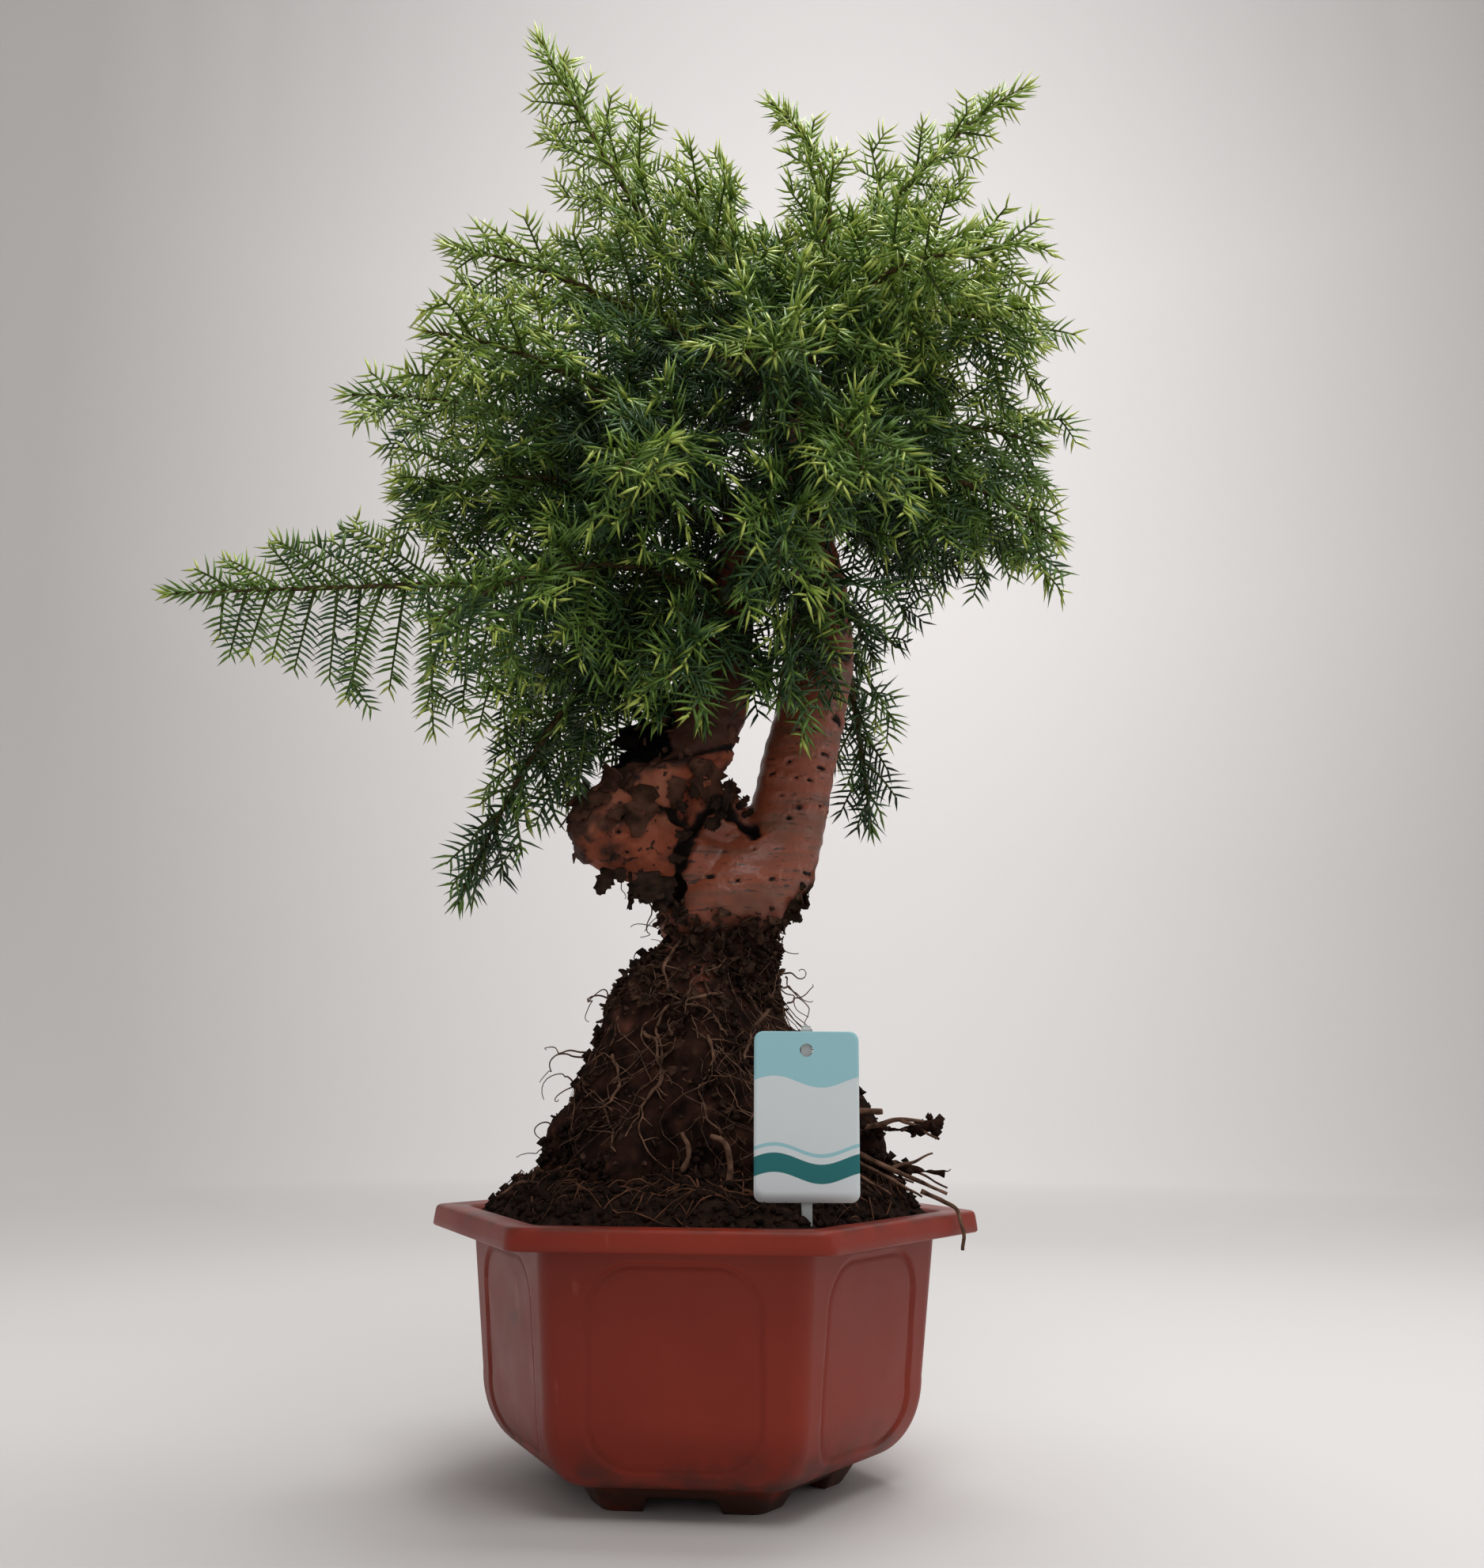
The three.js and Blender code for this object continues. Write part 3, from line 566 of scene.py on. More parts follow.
@dataclass(frozen=True)
class PotFinish:
    """Brick-red moulded plastic with faint mottling, scuffs and soil dust low down, darkest on the foot ring
    with dust and painted shade.
    """

    red: Colour = (0.232, 0.023, 0.009)
    deep: Colour = (0.180, 0.016, 0.007)
    scuff: Colour = (0.36, 0.09, 0.055)
    dust_and_shade: Colour = (0.045, 0.018, 0.011)
    bruise: Colour = (0.120, 0.018, 0.010)

    def material(self) -> Material:
        """Mottled red under scuffs, a rubbed patch, and dust with painted shade on the foot ring.

        Returns:
            The material. The mark low fades up the wall, foot is 1 on the foot ring, worn is 1 on the patch.
        """
        made = Recipe("moulded_plastic", 0.4, 0.26)
        body = made.ramp(made.noise(9.0, 3.0), (0.35, self.deep), (0.65, self.red))
        scuffs = made.steps(made.noise(70.0, 8.0, made.stretched((1.0, 1.0, 0.4))), 0.66, 0.74)
        body = made.blend(made.times(scuffs, 0.35), body, self.scuff)
        # Dust and painted shade: the foot ring takes more of the dark dust colour, also for the shade under the pot.
        caked = made.maths("ADD", made.noise(60.0, 6.0), made.times(made.mark("foot"), 0.17))
        dust_and_shade_share = made.times(made.mark("low"), made.steps(caked, 0.38, 0.66))
        worn = made.times(made.mark("worn"), made.steps(made.noise(150.0, 7.0), 0.42, 0.60))
        body = made.blend(worn, body, self.bruise)
        made.colour(made.blend(dust_and_shade_share, body, self.dust_and_shade))
        made.vary("Roughness", made.noise(40.0, 5.0), 0.30, 0.55)
        made.bump(made.noise(700.0, 2.0), 0.00012, 0.5)
        return made.material


@dataclass(frozen=True)
class PeatFinish:
    """Dark crumbly peat."""

    black: Colour = (0.009, 0.006, 0.005)
    brown: Colour = (0.032, 0.016, 0.011)

    def material(self) -> Material:
        """Two browns by fine noise, with deep crumb relief.

        Returns:
            The material.
        """
        made = Recipe("peat", 0.95, 0.05)
        made.colour(made.ramp(made.noise(210.0, 8.0), (0.35, self.black), (0.72, self.brown)))
        made.bump(made.noise(330.0, 8.0), 0.003, 1.0)
        return made.material


@dataclass(frozen=True)
class CardFinish:
    """A satin card with soft bands of aqua and teal on a pale ground."""

    ground: Colour = (0.62, 0.68, 0.70)
    aqua: Colour = (0.30, 0.55, 0.60)
    teal: Colour = (0.015, 0.15, 0.16)
    top_edge: float = 0.70
    low_band: Pair = (0.14, 0.252)
    fine_band: Pair = (0.29, 0.312)
    blur: float = 0.004

    def material(self) -> Material:
        """Bands by the mark rise, which runs up the card with a slow wave: aqua on top, a teal strip low.

        Returns:
            The material.
        """
        made = Recipe("card", 0.32)
        rise = made.mark("rise")
        colour = made.blend(made.steps(rise, self.top_edge, self.top_edge + self.blur), self.ground, self.aqua)
        for (low, high), ink in ((self.low_band, self.teal), (self.fine_band, self.aqua)):
            band = made.times(made.steps(rise, low, low + self.blur), made.steps(rise, high + self.blur, high))
            colour = made.blend(band, colour, ink)
        made.colour(colour)
        made.bump(made.noise(900.0, 2.0), 0.00005, 0.3)
        return made.material


@dataclass(frozen=True)
class ClearFinish:
    """Cloudy clear plastic."""

    tint: Colour = (0.55, 0.60, 0.60)
    clearness: float = 0.45

    def material(self) -> Material:
        """About half of the light passes, and noise clouds the gloss.

        Returns:
            The material.
        """
        made = Recipe("clear_plastic", 0.25)
        made.plain("Base Color", self.tint)
        made.shader.inputs["Transmission Weight"].default_value = self.clearness
        made.vary("Roughness", made.noise(300.0, 3.0), 0.15, 0.35)
        return made.material


# The pot and the soil


@dataclass
class HexagonPlan:
    """A turned hexagon with rounded corners, with even samples along its sides and round its corners' arcs."""

    turn: float = math.radians(-6.7)
    per_side: int = 44
    per_corner: int = 9

    @property
    def count(self) -> int:
        """Samples round the whole plan."""
        return 6 * (self.per_side + self.per_corner)

    def ring(self, radius: Array, rounding: Array) -> tuple[Array, Array, Array]:
        """Rings of the rounded hexagon: an arc about each corner's inner point, then a straight side.

        Args:
            radius: Distance from the axis to each ring's sharp corners.
            rounding: Radius of each ring's corner arcs.

        Returns:
            Plan points (rings, places, 2), the side's outward normals (places, 2), and the distance from the
            side's middle (rings, places), which is infinite on the arcs.
        """
        radius, rounding = (np.asarray(sizes, float)[:, None] for sizes in (radius, rounding))
        centre = radius - rounding / APOTHEM_SHARE
        points, normals, across = [], [], []
        for corner in range(6):
            middle = self.turn + corner * math.pi / 3
            angle = middle + np.linspace(-math.pi / 6, math.pi / 6, self.per_corner)
            bend = np.stack([np.cos(angle), np.sin(angle)], -1)
            arc = centre[..., None] * [math.cos(middle), math.sin(middle)] + rounding[..., None] * bend
            facing = middle + math.pi / 6
            out = np.array([math.cos(facing), math.sin(facing)])
            along = np.array([-out[1], out[0]])
            place = np.linspace(-1, 1, self.per_side + 2)[1:-1] * (centre / 2)
            points += [arc, (radius * APOTHEM_SHARE)[..., None] * out + place[..., None] * along]
            normals += [bend, np.tile(out, (self.per_side, 1))]
            across += [np.full(arc.shape[:2], np.inf), place]
        return np.concatenate(points, 1), np.concatenate(normals), np.concatenate(across, 1)


@dataclass
class Pot:
    """The moulded pot: tub, turned-down rim, pressed panels and notched foot ring."""

    layout: Layout
    plan: HexagonPlan = field(default_factory=lambda: HexagonPlan(per_side=84, per_corner=11))
    height: float = 128.5
    rim_radius: float = 140.0
    rim_inner: float = 122.0
    skirt: float = 10.0
    wall: float = 3.0
    body_top: float = 120.0
    shoulder: Pair = (112.0, 50.0)
    base: Pair = (84.0, 13.0)
    foot_top: float = 80.0
    foot: float = 72.0
    foot_inner: float = 62.0
    floor: float = 9.0
    panel_half_width: float = 40.0
    panel_low: float = 22.0
    panel_high: float = 113.0
    panel_corner: float = 22.0
    panel_depth: float = 1.5
    notch_half_width: float = 17.0
    notch_height: float = 7.0
    rubbed: Point = (-88.9, -49.4, 81.5)
    rubbed_size: Point = (8.0, 12.0, 11.0)

    def profile(self) -> Array:
        """The pot's section from its underside over the rim to its inner floor.

        The wall leaves the base on a quarter of an ellipse and goes on straight to the rim. Points are given in
        groups of one corner rounding, outer-wall flag and foot flag.

        Returns:
            Rows of corner radius, height, corner rounding, outer-wall flag and foot flag.
        """
        under = np.linspace(0, math.pi / 2, 34)
        curve = zip(
            mix(self.base[0], self.shoulder[0], np.sin(under)), mix(self.shoulder[1], self.base[1], np.cos(under))
        )
        wall_z = np.linspace(self.shoulder[1], self.height - self.wall, 88)[1:]
        rise = (wall_z - self.shoulder[1]) / (wall_z[-1] - self.shoulder[1])
        wall = zip(mix(self.shoulder[0], self.body_top, rise), wall_z)
        rim, lip, top, low = self.rim_radius, self.rim_inner, self.height, self.height - self.skirt
        ledge, inside = top - self.wall, self.base[1] + self.wall
        cone = [(mix(self.foot, self.foot_top, t), 11.0 * t + 1) for t in (0.25, 0.5, 0.75)]
        skirt = [(rim - 5.0, ledge), (rim - 3.2, ledge - 1), (rim - 2.0, low + 1), (rim - 1.2, low)]
        skirt += [(rim + 0.4, low), (rim + 1, low + 0.8), (rim + 0.6, low + 4), (rim, top - 2.2)]
        skirt += [(rim - 0.5, top - 0.8)]
        inner = [(rim - 1.8, top), (rim - 8, top - 0.1), (lip + 1.5, top - 0.2), (lip, top - 0.8)]
        inner += [(lip - 1.5, top - 3), (self.body_top - self.wall, top - 8), (self.shoulder[0] - self.wall + 3, 70)]
        inner += [(self.shoulder[0] - self.wall, self.shoulder[1]), (self.base[0] - 4, inside)]
        groups = (
            ((1, 0, 0), [(4, self.floor)]),
            ((6, 0, 0), [(self.foot_inner, self.floor)]),
            ((6, 0, 1), [(self.foot_inner, 1), (self.foot_inner + 1, 0)]),
            ((8, 0, 1), [(self.foot - 1, 0), (self.foot, 1), *cone]),
            ((8, 0, 0), [(self.foot_top, self.base[1] - 0.3)]),
            ((12, 1, 0), [*curve, *wall]),
            ((10, 0, 0), skirt),
            ((9, 0, 0), inner),
            ((1, 0, 0), [(4, inside)]),
        )
        return np.array([(*point, *flags) for flags, points in groups for point in points], float)

    def shape(self) -> Shape:
        """Rings of the plan at each profile row.

        Wall points sink by the panel depth inside a rounded rectangle on each side. Foot points rise to the
        notch height near the middle of each side.

        Returns:
            The pot with its marks low, foot and worn.
        """
        rows = self.profile()
        plan, normal, across = self.plan.ring(rows[:, 0], rows[:, 2])
        height = np.repeat(rows[:, 1:2], self.plan.count, 1)
        half = (self.panel_high - self.panel_low) / 2 - self.panel_corner
        middle = (self.panel_high + self.panel_low) / 2
        reach = np.where(np.isinf(across), 1e3, np.abs(across))
        dx = np.maximum(reach - (self.panel_half_width - self.panel_corner), 0)
        dz = np.maximum(np.abs(height - middle) - half, 0)
        inside = self.panel_corner - np.hypot(dx, dz)
        sink = self.panel_depth * (ease(0.0, 1.2, inside) - 0.45 * ease(1.2, 4.0, inside)) * rows[:, 3:4]
        plan = plan - sink[..., None] * normal
        notch = self.notch_height * (1 - ease(self.notch_half_width - 1.5, self.notch_half_width + 1.5, reach))
        height = np.where(rows[:, 4:5] == 1, np.maximum(height, notch), height)
        made = wrapped_grid(np.concatenate([plan, height[..., None]], -1))
        z = made.vertices[:, 2]
        rim_dust = 0.55 * ease(self.height - 3.0, self.height - 0.5, z)
        away = (made.vertices - np.array(self.rubbed)) / np.array(self.rubbed_size)
        made.marks["low"] = np.maximum(1 - ease(4.0, 46.0, z), rim_dust)
        # The foot mark lets the finish paint dust and shade on the foot ring.
        made.marks["foot"] = 1 - ease(10.0, 15.0, z)
        made.marks["worn"] = np.exp(-np.sum(away**2, -1))
        return made

    def build(self) -> None:
        """Makes the pot, which replaces its solid."""
        self.shape().piece("pot_moulding", self.layout, PotFinish().material(), Slot.POT, ["pot"])


def clods(middle: Array, size: Array) -> Shape:
    """Small clods: octahedra with jittered corners, each turned about the upright by chance.

    Args:
        middle: Places, one row each.
        size: About half of each clod's width.

    Returns:
        All clods as one shape.
    """
    number = np.arange(len(middle))
    corners = np.array([[1, 0, 0], [0, 1, 0], [-1, 0, 0], [0, -1, 0], [0, 0, 1], [0, 0, -1]], float)
    jitter = 0.55 + 0.9 * chance(number[:, None] + 7.0, np.arange(6)[None])
    spin = 6.28 * chance(6, number)[:, None]
    x, y, z = corners.T
    ahead = x * np.cos(spin) - y * np.sin(spin)
    aside = x * np.sin(spin) + y * np.cos(spin)
    turned = np.stack([ahead, aside, np.broadcast_to(z, ahead.shape)], -1)
    vertices = middle[:, None] + turned * (size[:, None] * jitter)[..., None]
    faces = np.array([[0, 1, 4], [1, 2, 4], [2, 3, 4], [3, 0, 4], [1, 0, 5], [2, 1, 5], [3, 2, 5], [0, 3, 5]])
    offset = 6 * number[:, None, None]
    return Shape(vertices.reshape(-1, 3), [(faces[None] + offset).reshape(-1, 3)])


@dataclass
class Soil:
    """The peat mound in the pot, with crumbs and fibres on it."""

    layout: Layout
    plan: HexagonPlan = field(default_factory=lambda: HexagonPlan(per_side=36, per_corner=6))
    edge: Pair = (118.5, 124.5)
    plateau: Pair = (96.0, 140.0)
    heap: float = 11.0
    crumbs: int = 3400
    fibres: int = 420
    under: tuple[Pair, ...] = ((2.0, 17.0), (60.0, 17.0), (78.0, 22.0), (106.0, 52.0), (116.0, 112.0))

    def top(self, x: Array, y: Array) -> Array:
        """The mound's height: a smooth rise from the rim to the plateau, a heap and lumps of two sizes.

        Args:
            x: Places to the right.
            y: Places to the back.

        Returns:
            Heights in the same grid.
        """
        rise = 1 - ease(self.plateau[0], self.edge[0] + 2, self.corner_radius(x, y))
        flat = np.stack([x, y, np.zeros_like(x)], -1).reshape(-1, 3)
        lumps = 3.2 * fractal(flat, 26.0, 3, 5) + 1.5 * fractal(flat, 6.0, 3, 9)
        heap = self.heap * (1 - ease(66.0, 108.0, np.hypot(x - 4.0, y * 1.2)))
        return mix(self.edge[1], self.plateau[1], rise) + heap + lumps.reshape(x.shape) * (0.35 + 0.65 * rise)

    def corner_radius(self, x: Array, y: Array) -> Array:
        """The corner radius of the hexagon through a place: its largest distance along the six side normals."""
        facing = self.plan.turn + math.pi / 6 + np.arange(6) * math.pi / 3
        return np.max(x[..., None] * np.cos(facing) + y[..., None] * np.sin(facing), -1) / APOTHEM_SHARE

    def build(self) -> None:
        """Makes the mound, its crumbs and its fibres, which replace the soil's solid."""
        peat = PeatFinish().material()
        under = np.array(self.under)
        radius = np.concatenate([under[:, 0], np.linspace(self.edge[0], 2.0, 74)])
        plan, _, _ = self.plan.ring(radius, np.minimum(9.0, radius * 0.3))
        height = self.top(plan[..., 0], plan[..., 1])
        height[: len(under)] = under[:, 1:]
        mound = wrapped_grid(np.concatenate([plan, height[..., None]], -1))
        mound.piece("peat_mound", self.layout, peat, Slot.SOIL, ["soil"])
        self.crumb_shape().piece("peat_crumbs", self.layout, peat, Slot.SOIL, smooth=False)
        straw = WoodFinish("fibre", (0.022, 0.010, 0.007), (0.150, 0.068, 0.038), 120.0).material()
        self.fibre_shape().piece("peat_fibres", self.layout, straw, Slot.SOIL)

    def crumb_shape(self) -> Shape:
        """Small clods on the mound, scattered by chance between two radii.

        Returns:
            All crumbs as one shape.
        """
        number = np.arange(self.crumbs)
        angle = FULL_TURN * chance(3, number)
        reach = 112.0 * np.sqrt(mix(0.30, 0.96, chance(4, number)))
        x, y = reach * np.cos(angle), reach * np.sin(angle)
        keep = self.corner_radius(x, y) < 117
        x, y, number = x[keep], y[keep], number[keep]
        size = 0.7 + 2.6 * chance(5, number) ** 3
        return clods(np.stack([x, y, self.top(x, y) + 0.25 * size], -1), size)

    def fibre_shape(self) -> Shape:
        """Fine strands on the mound: each an arc in plan that follows the mound and humps a little.

        Returns:
            All strands as one shape.
        """
        number = np.arange(self.fibres)
        angle = FULL_TURN * chance(13, number)
        reach = 106.0 * np.sqrt(mix(0.42, 0.92, chance(14, number)))
        way = FULL_TURN * chance(15, number)
        bend = 2.4 * (chance(16, number) - 0.5)
        length = 10 + 26 * chance(17, number)
        share = np.linspace(0, 1, 9)
        turn = way[:, None] + bend[:, None] * share
        x = (reach * np.cos(angle))[:, None] + np.cumsum(np.cos(turn), 1) / 9 * length[:, None]
        y = (reach * np.sin(angle))[:, None] + np.cumsum(np.sin(turn), 1) / 9 * length[:, None]
        keep = (self.corner_radius(x, y) < 118).all(1)
        x, y, number = x[keep], y[keep], number[keep]
        hump = (1.0 + 5.0 * chance(18, number) ** 3)[:, None] * np.sin(math.pi * share)
        paths = np.stack([x, y, self.top(x, y) + 0.4 + hump], -1)
        radii = (0.25 + 0.5 * chance(19, number) ** 2)[:, None] * (1 - 0.6 * share)
        return tubes(paths, radii, 4)


# Stems


@dataclass(frozen=True)
class Ring:
    """One ring of a stem: height, place and radius."""

    height: float
    x: float
    y: float
    radius: float


@dataclass(frozen=True)
class Pit:
    """A round scar in bark: bells over the distance from its middle for a lip, a dark floor and a pale rim."""

    lip: float
    lip_at: float
    lip_width: float
    depth: float
    floor: float
    rim_at: float

    def press(self, away: Array, fields: Sequence[Array]) -> None:
        """Presses the scar into the skin's fields.

        Args:
            away: Distances of the skin's points, in scar radii.
            fields: Height of the relief, dark floors and pale rims, changed in place.
        """
        relief, scar, rim = fields
        lip = self.lip * np.exp(-((away - self.lip_at) ** 2) / self.lip_width)
        relief += lip - self.depth * np.exp(-(away**2) / 0.5)
        np.maximum(scar, np.exp(-(away**2) / self.floor), out=scar)
        np.maximum(rim, np.exp(-((away - self.rim_at) ** 2) / 0.1), out=rim)


@dataclass
class Stems:
    """The trunk on its root base and the twisted second stem, as one bark skin.

    Attributes:
        surface_roots: Bearing, start, reach, foot height, tip height and radius of each woody root.
        crease: The fold under the elbow, carved and painted with shade, as x and height seen from the front.
        seam: A finer fold across the elbow, also painted with shade.
        strip: A raised strip of bark over the elbow, with a painted shadow beside it.
        knots: Scars seen in front, as x, height and radius.
    """

    layout: Layout
    trunk: tuple[Ring, ...] = (
        Ring(132, 4, 0, 84), Ring(152, 4, 0, 81), Ring(187, -1, 0, 71), Ring(226, 0.5, 0, 49),
        Ring(257, 11, 0, 31), Ring(274, 9, 0, 32), Ring(290, 20, 0, 31), Ring(308, 35, 0, 25),
        Ring(330, 44, 0, 21), Ring(364, 51, 0, 20), Ring(392, 58, 1, 18.5), Ring(421, 64, 4, 17),
        Ring(457, 65, 10, 14.5), Ring(488, 61, 15, 12.5), Ring(528, 52, 19, 10.5), Ring(585, 48, 20, 7.5),
        Ring(640, 42, 20, 4.5),
    )  # fmt: skip
    upper_arm: tuple[Ring, ...] = (
        Ring(328, -43, -14, 22), Ring(344, -26, -13, 22), Ring(362, -10, -10, 21), Ring(393, 3, -5, 20),
        Ring(430, 9.5, 0, 15.5), Ring(469, 13.5, 5, 11), Ring(520, 15, 10, 5),
    )  # fmt: skip
    lower_arm: tuple[Ring, ...] = (Ring(298, 10, 0, 22), Ring(308, -18, -7, 22), Ring(322, -48, -14, 24))
    elbow: Ring = Ring(322, -48, -14, 24)
    knot: Ring = Ring(328, 4, -2, 20)
    stub: tuple[Ring, ...] = (Ring(372, -14, -8, 11), Ring(370, -28, -9, 9.5), Ring(366, -40, -9, 6.5))
    surface_roots: Rows = (
        (189, 58, 82, 196, 142, 15), (235, 46, 74, 188, 142, 13), (305, 46, 74, 192, 142, 13),
        (344, 62, 120, 164, 172, 4.5), (350, 62, 122, 156, 146, 4.5), (70, 44, 72, 190, 142, 13),
        (125, 44, 72, 190, 142, 13),
    )  # fmt: skip
    depth_share: float = 0.74
    lobes: int = 5
    lobe_depth: float = 0.1
    flare_top: float = 265.0
    soil_level: float = 141.3
    voxel: float = 1.4
    crease: tuple[Pair, ...] = (
        (-16, 279), (-14, 296), (-12, 309), (-8, 319), (-1, 330), (8, 339), (15, 328), (25, 321),
    )  # fmt: skip
    seam: tuple[Pair, ...] = ((-44, 326), (-30, 330), (-14, 328), (-5, 322))
    strip: tuple[Pair, ...] = ((-34, 348), (-18, 351.5), (-2, 356.5), (17, 363.5))
    knots: tuple[Point, ...] = (
        (70, 383, 4.2), (63, 363, 2.8), (63, 355, 2.6), (55, 348, 2.2), (48, 349, 1.6), (49.5, 333, 2.6),
        (44, 327, 1.8), (53.5, 299, 2.2), (17, 293, 1.8), (3, 295, 2.2), (35, 294, 2.0), (70, 395, 2.8),
        (49, 376, 2.2), (76, 420, 5.0), (40, 340, 1.8), (66, 333, 1.8), (44, 358, 2.0), (57, 376, 1.8),
        (66, 402, 2.2), (60, 410, 1.8), (26, 310, 1.6), (-44, 316, 2.6), (-34, 322, 1.8), (-40, 306, 1.8),
    )  # fmt: skip
    hoop_pitch: float = 10.5
    scars: int = 34
    scars_start: float = 318.0
    scars_rise: float = 290.0
    scar_pit: Pit = Pit(lip=0.55, lip_at=1.1, lip_width=0.12, depth=1.3, floor=0.45, rim_at=1.3)
    knot_pit: Pit = Pit(lip=0.7, lip_at=1.15, lip_width=0.1, depth=1.6, floor=0.4, rim_at=1.35)

    @staticmethod
    def table(rings: Sequence[Ring]) -> Array:
        """Rings as rows of x, y, height and radius."""
        return np.array([(ring.x, ring.y, ring.height, ring.radius) for ring in rings], float)

    def trunk_at(self, height: Array | float) -> tuple[Array, Array, Array]:
        """The trunk's x, y and radius at heights, on straight lines between its rings."""
        table = self.table(self.trunk)
        return tuple(np.interp(height, table[:, 2], table[:, column]) for column in (0, 1, 3))

    def axis_at(self, stem: Stem, height: float) -> Array:
        """The point of a stem's axis at a height, on the straight line between its rings."""
        table = self.table(self.trunk if stem is Stem.TRUNK else self.upper_arm)
        return np.array([*(np.interp(height, table[:, 2], table[:, column]) for column in (0, 1)), height])

    def flare(self, height: Array, out: Array) -> Array:
        """The root base's shape: shallower than wide, with lobes, fading out at the flare's top.

        Args:
            height: Heights.
            out: Directions out of the axis.

        Returns:
            Shares of the radius.
        """
        low = np.clip((self.flare_top - height) / 120.0, 0, 1)
        angle = np.arctan2(out[..., 1], out[..., 0])
        depth = mix(1.0, self.depth_share, low * np.abs(np.sin(angle)))
        return depth * (1 + self.lobe_depth * low * np.cos(self.lobes * angle))

    def limb(self, rings: Sequence[Ring], count: int, flared: bool = False) -> Shape:
        """A closed limb: 40-sided rings across the curve's tangent, their radii eased between the given rings.

        Args:
            rings: Rings that the curve passes.
            count: Rings to make.
            flared: Whether the radius follows the root base's flare.

        Returns:
            The limb.
        """
        curve = spline(self.table(rings), count)
        path = curve[:, :3]
        tangent = unit(np.gradient(path, axis=0))
        side = unit(np.cross(np.broadcast_to([0.0, 1.0, 0.0], tangent.shape), tangent))
        out = spokes(side, np.cross(tangent, side), turns(40))
        radius = np.repeat(curve[:, 3:], 40, 1)
        if flared:
            radius = radius * self.flare(path[:, 2][:, None], out)
        return wrapped_grid(path[:, None] + out * radius[..., None])

    def ball(self, ring: Ring) -> Shape:
        """A sphere: rings at even angles from pole to pole.

        Args:
            ring: Its place and radius.

        Returns:
            The sphere.
        """
        lift = np.linspace(-math.pi / 2 + 0.1, math.pi / 2 - 0.1, 16)[:, None]
        turn = turns(32)
        flat = ring.radius * np.cos(lift)
        up = np.repeat(ring.radius * np.sin(lift), 32, 1)
        rows = np.stack([flat * np.cos(turn), flat * np.sin(turn), up], -1)
        return wrapped_grid(rows + np.array([ring.x, ring.y, ring.height]))

    def roots(self) -> list[Shape]:
        """Woody roots that leave the root base, each a limb of three rings that thins outwards.

        Returns:
            The roots.
        """
        made = []
        foot = np.array([self.trunk[1].x, self.trunk[1].y])
        for bearing, start, reach, top, tip, radius in self.surface_roots:
            way = np.array([math.cos(math.radians(bearing)), math.sin(math.radians(bearing))])
            reaches = (start - 26, (start + reach) / 2, reach)
            heights = (top + 14, mix(top, tip, 0.5), tip)
            rings = [Ring(h, *(foot + way * r), radius * s) for h, r, s in zip(heights, reaches, (1.0, 0.7, 0.4))]
            made.append(self.limb(rings, 24))
        return made

    def fused(self) -> Shape:
        """All limbs fused: overlapping closed limbs, remeshed on a fine grid and smoothed a little.

        Returns:
            The fused skin.
        """
        parts = [self.limb(self.trunk, 150, flared=True), self.limb(self.lower_arm, 30)]
        parts += [self.limb(self.upper_arm, 90), self.limb(self.stub, 16)]
        parts += [self.ball(self.elbow), self.ball(self.knot), *self.roots()]
        rough = Shape.join(parts).thing("stems_rough", Layout((0.0, 0.0)), None)
        remesh = rough.modifiers.new("fuse", "REMESH")
        remesh.mode = "VOXEL"
        remesh.voxel_size = self.voxel * 0.001
        smooth = rough.modifiers.new("ease", "SMOOTH")
        smooth.iterations = 6
        solid = rough.evaluated_get(bpy.context.evaluated_depsgraph_get()).to_mesh()
        vertices = np.empty(len(solid.vertices) * 3)
        solid.vertices.foreach_get("co", vertices)
        corners = np.empty(len(solid.loops), np.int32)
        solid.loops.foreach_get("vertex_index", corners)
        fused = Shape(vertices.reshape(-1, 3) * 1000.0, [corners.reshape(-1, 4)])
        bpy.data.objects.remove(rough)
        return fused

    def build(self) -> Skin:
        """Makes the bark skin with its relief, which replaces both stems' solids.

        Returns:
            The skin, for what grows on it.
        """
        skin = self.fused()
        self.carve(skin)
        skin.piece("stems_bark", self.layout, BarkFinish().material(), Slot.BARK, ["trunk", "second_stem"])
        return Skin(skin.vertices, self.normals(skin), skin.marks)

    def normals(self, skin: Shape) -> Array:
        """Vertex normals: the summed cross products of the faces' diagonals.

        Args:
            skin: A shape of quads.

        Returns:
            One normal for each vertex.
        """
        quads = skin.polygons[0]
        corner = skin.vertices[quads]
        face = np.cross(corner[:, 2] - corner[:, 0], corner[:, 3] - corner[:, 1])
        total = np.zeros_like(skin.vertices)
        for k in range(4):
            np.add.at(total, quads[:, k], face)
        return unit(total)

    @staticmethod
    def off_line(place: Array, line: Sequence[Pair]) -> Array:
        """Distances from a polyline, seen from the front.

        Args:
            place: Places, one row each.
            line: Corners of x and height.

        Returns:
            One distance for each place.
        """
        flat = place[:, [0, 2]]
        corners = np.array(line, float)
        best = np.full(len(flat), np.inf)
        for start, end in zip(corners[:-1], corners[1:]):
            along = end - start
            share = np.clip((flat - start) @ along / (along @ along), 0, 1)
            best = np.minimum(best, np.linalg.norm(flat - start - share[:, None] * along, axis=1))
        return best

